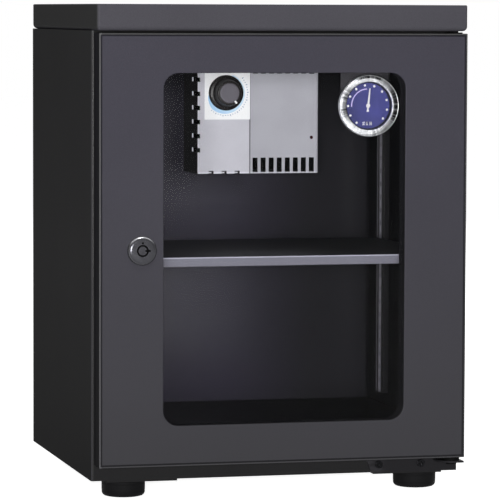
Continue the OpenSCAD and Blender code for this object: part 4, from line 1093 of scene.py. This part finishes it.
class DRYCABINET_OT_door(bpy.types.Operator):
    """Makes the door's front sheet and finishes its lining, seals and bushes"""
    bl_idname = "dry_cabinet.door"
    bl_label = "Door"

    def execute(self, context):
        door_sheet()
        dress(finish(door_coat), "door_lining", ease=0.25 * MM)
        dress(finish(black_rubber), "glass_seal", "door_gasket", ease=0.4 * MM)
        dress(finish(heater_black), "hinge_bushes")
        dress(finish(window_pane), "window_glass", ease=0.4 * MM)
        return {"FINISHED"}


class DRYCABINET_OT_hinges(bpy.types.Operator):
    """Finishes the hinge brackets, pins and screws"""
    bl_idname = "dry_cabinet.hinges"
    bl_label = "Hinges"

    def execute(self, context):
        dress(finish(worn_bracket_coat), "lower_hinge_bracket", ease=0.45 * MM, steps=3)
        dress(finish(bracket_coat), "upper_hinge_bracket", ease=0.3 * MM)
        dress(finish(zinc_plate), "pan_screws")
        dress(finish(dark_screw_steel), "hinge_screws", ease=0.2 * MM)
        dress(finish(heater_black), "lower_hinge_pin", "upper_hinge_pin")
        return {"FINISHED"}


def keyed_barrel():
    """The lock's barrel with a broad rounded shoulder, bored for the plug, notched and dotted."""
    low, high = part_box("lock_barrel")
    middle = centre_of("lock_barrel")
    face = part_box("door_skin")[0].y
    front = Vector((middle.x, low.y, middle.z))
    proud = face - low.y
    outer = (high.x - low.x) / 2
    flat, barrel, bore, keyway = 9.4 * MM, 9.5 * MM, 5.05 * MM, 6 * MM

    def at(a, b, deep):
        return front + Vector((a, deep, b))

    def ring(radius, deep, steps=72):
        return [at(a, b, deep) for a, b in arc((0, 0), radius, 0, 360 - 360 / steps, steps - 1)]

    half, reach = 0.85 * MM, bore + 1.5 * MM
    opening = math.degrees(math.asin(half / bore))
    hole = arc((0, 0), bore, opening, 360 - opening, 46) + [(reach, -half), (reach, half)]
    dot = arc((0, bore + 1.4 * MM), 0.9 * MM, 0, 340, 17)
    drop = proud - 0.5 * MM
    bm = bmesh.new()
    shoulder = [(flat, 0.0), (flat + 0.25 * MM, 0.12 * MM)]
    shoulder += [(flat + (outer - flat) * math.sin(t), 0.12 * MM + (drop - 0.12 * MM) * (1 - math.cos(t)))
                 for t in [math.radians(90 * (0.2 + 0.8 * i / 11)) for i in range(12)]]
    shoulder += [(outer, proud), (barrel, proud), (barrel, high.y - low.y)]
    outside = skin(bm, [ring(*point) for point in shoulder])
    key = skin(bm, [[at(a, b, deep) for a, b in hole] for deep in (0, keyway)])
    cap(bm, key[1][-3:] + key[1][:1])
    dimple = skin(bm, [[at(a, b, deep) for a, b in dot] for deep in (0, 0.6 * MM)])
    cap(bm, dimple[1])
    near = key[1][:-2]
    far = [bm.verts.new(at(a, b, high.y - low.y)) for a, b in hole[:-2]]
    for i in range(len(near)):
        j = (i + 1) % len(near)
        bm.faces.new((near[i], near[j], far[j], far[i]))
    fill_between(bm, [outside[0], key[0], dimple[0]])
    fill_between(bm, [outside[-1], far])
    return new_piece("lock_bezel_and_barrel", bm, [finish(lock_chrome)], "door",
                     ["lock_barrel"])


class DRYCABINET_OT_lock(bpy.types.Operator):
    """Makes the lock's barrel and finishes the rest of the cam lock"""
    bl_idname = "dry_cabinet.lock"
    bl_label = "Lock"

    def execute(self, context):
        keyed_barrel()
        dress(finish(lock_chrome), "lock_plug")
        dress(finish(zinc_plate), "lock_nut", "lock_cam", "cam_screw")
        return {"FINISHED"}


# The shelf and what carries it

class DRYCABINET_OT_shelf(bpy.types.Operator):
    """Finishes the shelf, its rails and its clips"""
    bl_idname = "dry_cabinet.shelf"
    bl_label = "Shelf"

    def execute(self, context):
        dress(finish(shelf_coat), "shelf", ease=0.7 * MM, steps=3)
        dress(finish(rail_coat), "left_shelf_rails", "right_shelf_rails", ease=0.35 * MM)
        dress(finish(zinc_plate), "shelf_clips", ease=0.15 * MM)
        return {"FINISHED"}


# The dryer

def scale_print():
    """The crescent and the ticks printed round the knob."""
    dryer = settings("cabinet_dryer")
    knob = centre_of("humidity_knob")
    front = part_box("scale_plate")[0].y
    thick = Vector((0, -0.08 * MM, 0))

    def at(turn, radius):
        a, b = clock_point(turn, radius)
        return knob.x + a, knob.z + b

    def place(a, b):
        return Vector((a, front, b))

    bm = bmesh.new()
    steps = 60
    start, end = 22, 262
    inside, root = 14.8 * MM, 16.2 * MM
    outer, inner = [], []
    for i in range(steps + 1):
        share = i / steps
        turn = start + (end - start) * share
        swell = min(1, 0.35 + 0.9 * share) * min(1, (1 - share) * 6)
        outer.append(at(turn, root + (dryer.band_reach - root) * swell))
        inner.append(at(turn, inside))
    prism(bm, outer + inner[::-1], place, thick, 0)
    tick_count, first_tick, tick_pitch, half = 27, 50, 6.5, 1.1
    tick_root, long_tick, short_tick = 20.0 * MM, 1.5 * MM, 0.9 * MM
    for i in range(tick_count):
        turn = first_tick + i * tick_pitch
        tip = tick_root + (long_tick if i % 3 == 0 else short_tick)
        prism(bm, [at(turn - half, tick_root), at(turn + half, tick_root),
                   at(turn + half, tip), at(turn - half, tip)], place, thick, 1)
    return new_piece("scale_print", bm, [finish(band_ink), finish(tick_ink)], "cabinet",
                     even=False)


def setting_knob():
    """A flared skirt, a tapering body, a raised cap and a white mark."""
    dryer = settings("cabinet_dryer")
    low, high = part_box("humidity_knob")
    middle = (low + high) / 2
    centre = Vector((middle.x, high.y, middle.z))
    height = high.y - low.y
    cap_r = dryer.cap_radius
    bm = bmesh.new()
    outside = in_mm(
        (7.6, 0.6), (15.6, 0.0), (15.95, 0.25), (16, 0.6), (16, 2.1), (15.85, 2.7), (15.4, 3.2),
        (14.6, 3.6), (13.4, 3.85), (12.75, 4.1), (12.5, 4.6), (12.3, 6.0), (11.3, 13.6),
        (11.05, 14.5), (10.6, 15.0), (10.1, 15.1))
    outside += [(cap_r + 0.25 * MM, height - 0.4 * MM), (cap_r + 0.1 * MM, height - 0.9 * MM)]
    turned(bm, outside, centre, AHEAD, 96)
    turned(bm, [(7.6 * MM, 0.6 * MM), (7.6 * MM, height - 3 * MM), (0, height - 3 * MM)], centre, AHEAD, 96)
    capped = [(cap_r + 0.1 * MM, height - 0.9 * MM), (cap_r, height - 0.5 * MM),
              (cap_r - 0.1 * MM, height - 0.2 * MM), (cap_r - 0.45 * MM, height),
              (cap_r * 0.6, height - 0.1 * MM), (0, height - 0.15 * MM)]
    turned(bm, capped, centre, AHEAD, 96, material=1)
    mark_turn = 145
    out, across = clock_axes(mark_turn)
    mark = in_mm((-0.85, 8.2), (0.85, 8.2), (0.85, 11.3), (-0.85, 11.3))
    base = centre + AHEAD * (height - 1.0 * MM)
    prism(bm, mark, lambda a, b: base + across * a + out * b, AHEAD * 0.95 * MM, 2)
    return new_piece("setting_knob", bm, [finish(knob_plastic), finish(cap_plastic), finish(mark_paint)],
                     "knob", ["humidity_knob"])


class DRYCABINET_OT_dryer(bpy.types.Operator):
    """Finishes the dryer's housings, its scale and its light"""
    bl_idname = "dry_cabinet.dryer"
    bl_label = "Dryer"

    def execute(self, context):
        edge = settings("cabinet_dryer").edge
        dress(finish(dryer_silver), "control_housing", "chamber_housing", ease=edge, steps=3)
        dress(finish(scale_white), "scale_plate", ease=0.12 * MM)
        scale_print()
        dress(finish(led_lens), "status_led", ease=0.4 * MM, steps=3)
        dress(finish(heater_black), "dryer_back_plate", ease=0.2 * MM)
        dress(finish(dark_plastic), "power_module", ease=0.2 * MM)
        return {"FINISHED"}


class DRYCABINET_OT_knob(bpy.types.Operator):
    """Makes the humidity knob"""
    bl_idname = "dry_cabinet.knob"
    bl_label = "Knob"

    def execute(self, context):
        setting_knob()
        dress(finish(zinc_plate), "knob_shaft")
        return {"FINISHED"}


class DRYCABINET_OT_dryer_inside(bpy.types.Operator):
    """Finishes what is inside the dryer and the inlet behind it"""
    bl_idname = "dry_cabinet.dryer_inside"
    bl_label = "Dryer Inside"

    def execute(self, context):
        dress(finish(pot_plastic), "potentiometer")
        dress(finish(board_lacquer), "control_board")
        dress(finish(canister_metal), "desiccant_cartridge")
        dress(finish(heater_black), "heater_block", ease=0.2 * MM)
        dress(finish(shutter_plastic), "lower_shutter", "upper_shutter", ease=0.2 * MM)
        dress(finish(memory_wire), "memory_spring")
        dress(finish(spring_wire), "return_spring")
        dress(finish(inlet_plastic), "power_inlet", ease=0.5 * MM)
        dress(finish(brass_plate), "inlet_pins")
        return {"FINISHED"}


# The hygrometer

def polished_bezel():
    """A thin outer rim, a valley and a broad rounded ring that falls to the glass."""
    low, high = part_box("gauge_bezel")
    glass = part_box("gauge_glass")[0].y
    centre = front_middle("gauge_bezel")
    seat = glass - low.y
    deep = high.y - low.y
    profile = [(25.0 * MM, deep)]
    profile += in_mm(
        (27.3, 5.0), (27.3, 1.2), (27.25, 0.95), (27.05, 0.7), (26.8, 0.6), (26.55, 0.66),
        (26.4, 0.84), (26.25, 0.86), (26.15, 0.3), (25.5, 0.14), (24.8, 0.07), (24.1, 0.03),
        (23.4, 0.01), (22.6, 0.0), (21.7, 0.0), (21.4, 0.06), (21.2, 0.22), (21.1, 0.5))
    profile += [(21.1 * MM, seat), (25.0 * MM, seat)]
    bm = bmesh.new()
    turned(bm, profile, centre, -AHEAD, 128, closed=True)
    return new_piece("polished_bezel", bm, [finish(bezel_polish)], "cabinet",
                     ["gauge_bezel"], crease=50)


UNIT_STROKES = {
    "%": [((0.0, 0.0), (0.62, 1.0)), ((0.0, 0.78), (0.16, 0.95)), ((0.46, 0.05), (0.62, 0.22))],
    "R": [((0.0, 0.0), (0.0, 1.0)), ((0.0, 1.0), (0.42, 1.0)), ((0.42, 1.0), (0.5, 0.78)),
          ((0.5, 0.78), (0.42, 0.52)), ((0.42, 0.52), (0.0, 0.52)), ((0.24, 0.52), (0.52, 0.0))],
    "H": [((0.0, 0.0), (0.0, 1.0)), ((0.52, 0.0), (0.52, 1.0)), ((0.0, 0.5), (0.52, 0.5))],
}


def dial_marks():
    """The dots, the arc and the unit on the dial, as a thin print."""
    look = settings("cabinet_hygrometer")
    centre = front_middle("gauge_dial")
    thick = AHEAD * 0.06 * MM

    def place(a, b):
        return centre + Vector((a, 0, b))

    bm = bmesh.new()
    first_dot, dot_sweep = -146, 275
    for i in range(look.dot_count):
        dot = clock_point(first_dot + dot_sweep * i / (look.dot_count - 1), look.dot_ring)
        prism(bm, arc(dot, look.dot_radius, 0, 345, 23), place, thick, 0)
    arc_start, arc_sweep, steps, half = -94, 91, 40, 0.52 * MM
    turns = [arc_start + arc_sweep * i / steps for i in range(steps + 1)]
    prism(bm, [clock_point(turn, look.arc_radius + half) for turn in turns]
          + [clock_point(turn, look.arc_radius - half) for turn in turns[::-1]], place, thick, 1)
    height, pitch, stroke = 2.5 * MM, 3.3 * MM, 0.32 * MM
    start = Vector((-4.5 * MM, -17.0 * MM))
    for number, sign in enumerate("%RH"):
        for one, two in UNIT_STROKES[sign]:
            a = start + Vector((number * pitch + one[0] * height, one[1] * height))
            b = start + Vector((number * pitch + two[0] * height, two[1] * height))
            along = (b - a).normalized() * stroke
            side = Vector((-along.y, along.x))
            prism(bm, [tuple(a - along + side), tuple(a - along - side), tuple(b + along - side),
                       tuple(b + along + side)], place, thick, 2)
    return new_piece("dial_marks", bm, [finish(dot_ink), finish(arc_ink), finish(dot_ink)],
                     "cabinet", even=False)


def pointer():
    """The needle: a tapering blade, a tail that widens, and a hub ring on its spindle."""
    low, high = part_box("gauge_needle")
    gauge = centre_of("gauge_bezel")
    hub = Vector((gauge.x, low.y, gauge.z))
    rest_turn = 5.8
    out, across = clock_axes(rest_turn)
    deep = high.y - low.y
    base = hub - AHEAD * 0.2 * MM
    bm = bmesh.new()
    blade = in_mm((-0.9, 0), (-0.5, 15.0), (-0.25, 15.4), (0.25, 15.4), (0.5, 15.0), (0.9, 0),
                  (0.7, -2.4), (1.05, -5.0), (0.75, -5.4), (-0.75, -5.4), (-1.05, -5.0), (-0.7, -2.4))
    prism(bm, blade, lambda a, b: base + across * a + out * b, -AHEAD * 0.45 * MM, 0)
    turned(bm, in_mm((0.9, 0.85), (1.9, 0.85), (1.9, 0.25), (1.65, 0.0), (1.2, 0.0), (0.9, 0.25)),
           hub, -AHEAD, 40, closed=True)
    turned(bm, in_mm((0, 0.2), (0.9, 0.3), (0.9, 0.8), (0.55, 0.9)) + [(0.55 * MM, deep), (0, deep)],
           hub, -AHEAD, 24, material=1)
    turned(bm, in_mm((0.6, 3.8), (1.5, 3.8), (1.5, 6.2), (0.6, 6.2)),
           hub, -AHEAD, 24, material=1, closed=True)
    return new_piece("pointer", bm, [finish(needle_paint), finish(gauge_black)], "needle",
                     ["gauge_needle"])


class DRYCABINET_OT_hygrometer(bpy.types.Operator):
    """Makes the hygrometer's bezel, marks and needle, and finishes the rest"""
    bl_idname = "dry_cabinet.hygrometer"
    bl_label = "Hygrometer"

    def execute(self, context):
        polished_bezel()
        dial_marks()
        pointer()
        dress(finish(gauge_black), "gauge_case", ease=0.5 * MM, steps=3)
        dress(finish(dial_print), "gauge_dial")
        dress(finish(gauge_pane), "gauge_glass")
        dress(finish(bracket_coat), "gauge_bracket", ease=0.25 * MM)
        dress(finish(coil_strip), "humidity_coil")
        return {"FINISHED"}


# The stage

CAMERA_PLACE = Vector((-0.70348, -2.79792, 0.40896))
CAMERA_YAW = 0.24869
CAMERA_PITCH = 0.07281
CAMERA_ROLL = 0.00354
CAMERA_LENS = 236.44
CAMERA_SENSOR = 36.0


def set_camera():
    ahead = Vector((math.sin(CAMERA_YAW), math.cos(CAMERA_YAW), 0))
    right = Vector((math.cos(CAMERA_YAW), -math.sin(CAMERA_YAW), 0))
    look = math.cos(CAMERA_PITCH) * ahead - math.sin(CAMERA_PITCH) * UP
    over = math.sin(CAMERA_PITCH) * ahead + math.cos(CAMERA_PITCH) * UP
    x_axis = math.cos(CAMERA_ROLL) * right + math.sin(CAMERA_ROLL) * over
    y_axis = math.cos(CAMERA_ROLL) * over - math.sin(CAMERA_ROLL) * right
    data = bpy.data.cameras.new("studio_camera")
    data.sensor_width = CAMERA_SENSOR
    data.lens = CAMERA_LENS
    data.clip_end = 50
    camera = bpy.data.objects.new("studio_camera", data)
    bpy.context.scene.collection.objects.link(camera)
    turn = Matrix((x_axis, y_axis, -look)).transposed().to_4x4()
    camera.matrix_world = Matrix.Translation(CAMERA_PLACE) @ turn
    bpy.context.scene.camera = camera


def soft_light(name, place, aim, size, power, colour=(1, 1, 1)):
    data = bpy.data.lights.new(name, "AREA")
    data.shape = "RECTANGLE"
    data.size, data.size_y = size
    data.energy = power
    data.color = colour
    light = bpy.data.objects.new(name, data)
    bpy.context.scene.collection.objects.link(light)
    light.location = place
    light.rotation_euler = (Vector(aim) - Vector(place)).to_track_quat("-Z", "Y").to_euler()


def seen_directly(tree):
    """1 for rays that show the background: the camera's, and those in metal and glass."""
    rays = tree.nodes.new("ShaderNodeLightPath")
    either = tree.nodes.new("ShaderNodeMath")
    either.operation = "MAXIMUM"
    any_of = tree.nodes.new("ShaderNodeMath")
    any_of.operation = "MAXIMUM"
    tree.links.new(rays.outputs["Is Camera Ray"], either.inputs[0])
    tree.links.new(rays.outputs["Is Glossy Ray"], either.inputs[1])
    tree.links.new(either.outputs[0], any_of.inputs[0])
    tree.links.new(rays.outputs["Is Transmission Ray"], any_of.inputs[1])
    return any_of.outputs[0]


def set_world(studio):
    world = bpy.data.worlds.new("studio_room")
    bpy.context.scene.world = world
    world.use_nodes = True
    tree = world.node_tree
    background = tree.nodes["Background"]
    background.inputs["Color"].default_value = (1, 1, 1, 1)
    level = tree.nodes.new("ShaderNodeMapRange")
    tree.links.new(seen_directly(tree), level.inputs["Value"])
    level.inputs["To Min"].default_value = studio.room
    level.inputs["To Max"].default_value = 1.0
    tree.links.new(level.outputs[0], background.inputs["Strength"])


def set_floor(studio):
    """A wide pale floor that keeps the cabinet's shadow and melts into the white behind it."""
    bm = bmesh.new()
    half = 12.0
    bmesh.ops.create_grid(bm, x_segments=4, y_segments=4, size=half)
    mesh = bpy.data.meshes.new("studio_floor")
    bm.to_mesh(mesh)
    bm.free()
    floor = bpy.data.objects.new("studio_floor", mesh)
    bpy.context.scene.collection.objects.link(floor)
    f = Finish("studio_floor")
    grain = f.cloud(0.02, 2)
    tone = f.toned((studio.floor,) * 3, (grain, 0.01))
    f.surface({"Base Color": tone, "Roughness": 0.9, "Specular IOR Level": 0.0,
               "Emission Color": (1, 1, 1)})
    glow = f.node("MapRange", {"To Min": 0.0, "To Max": studio.floor_glow})
    f.tree.links.new(seen_directly(f.tree), glow.inputs["Value"])
    f.tree.links.new(glow.outputs[0], f.shader.inputs["Emission Strength"])
    mesh.materials.append(f.material)


class DRYCABINET_OT_stage(bpy.types.Operator):
    """Sets the floor, the lights and the camera"""
    bl_idname = "dry_cabinet.stage"
    bl_label = "Stage"

    def execute(self, context):
        studio = settings("cabinet_studio")
        context.scene.view_settings.view_transform = "Standard"
        set_camera()
        set_world(studio)
        set_floor(studio)
        aim = (0, 0, 0.22)
        soft_light("key_light", (-0.8, -3.0, 0.33), aim, (1.1, 0.55), studio.key)
        soft_light("top_light", (-0.1, -0.9, 1.7), aim, (0.6, 0.45), studio.top)
        soft_light("side_light", (-2.0, -1.6, 0.7), aim, (0.4, 0.8), studio.side)
        soft_light("back_light", (2.2, 2.2, 0.9), aim, (1.0, 1.0), studio.back)
        return {"FINISHED"}


OPERATORS = (
    DRYCABINET_OT_stage, DRYCABINET_OT_shell, DRYCABINET_OT_top_cover, DRYCABINET_OT_feet,
    DRYCABINET_OT_door, DRYCABINET_OT_hinges, DRYCABINET_OT_lock, DRYCABINET_OT_shelf,
    DRYCABINET_OT_dryer, DRYCABINET_OT_knob, DRYCABINET_OT_dryer_inside, DRYCABINET_OT_hygrometer,
)

GROUPS = {
    "cabinet_paint": CabinetPaint,
    "cabinet_sheets": CabinetSheets,
    "cabinet_dryer": CabinetDryer,
    "cabinet_hygrometer": CabinetHygrometer,
    "cabinet_studio": CabinetStudio,
}


class DRYCABINET_PT_pieces(bpy.types.Panel):
    """Lists the cabinet's pieces and their settings"""
    bl_idname = "DRYCABINET_PT_pieces"
    bl_label = "Dry Cabinet"
    bl_space_type = "VIEW_3D"
    bl_region_type = "UI"
    bl_category = "Dry Cabinet"

    def draw(self, context):
        for operator in OPERATORS:
            self.layout.operator(operator.bl_idname)
        for name, group in GROUPS.items():
            box = self.layout.box()
            for setting in group.__annotations__:
                box.prop(getattr(context.scene, name), setting)


def register():
    for group in GROUPS.values():
        bpy.utils.register_class(group)
    for name, group in GROUPS.items():
        setattr(bpy.types.Scene, name, PointerProperty(type=group))
    for operator in OPERATORS:
        bpy.utils.register_class(operator)
    bpy.utils.register_class(DRYCABINET_PT_pieces)


def unregister():
    bpy.utils.unregister_class(DRYCABINET_PT_pieces)
    for operator in reversed(OPERATORS):
        bpy.utils.unregister_class(operator)
    for name, group in GROUPS.items():
        delattr(bpy.types.Scene, name)
        bpy.utils.unregister_class(group)


def main():
    register()
    for operator in OPERATORS:
        getattr(bpy.ops.dry_cabinet, operator.bl_idname.split(".")[1])()


if __name__ == "__main__":
    main()
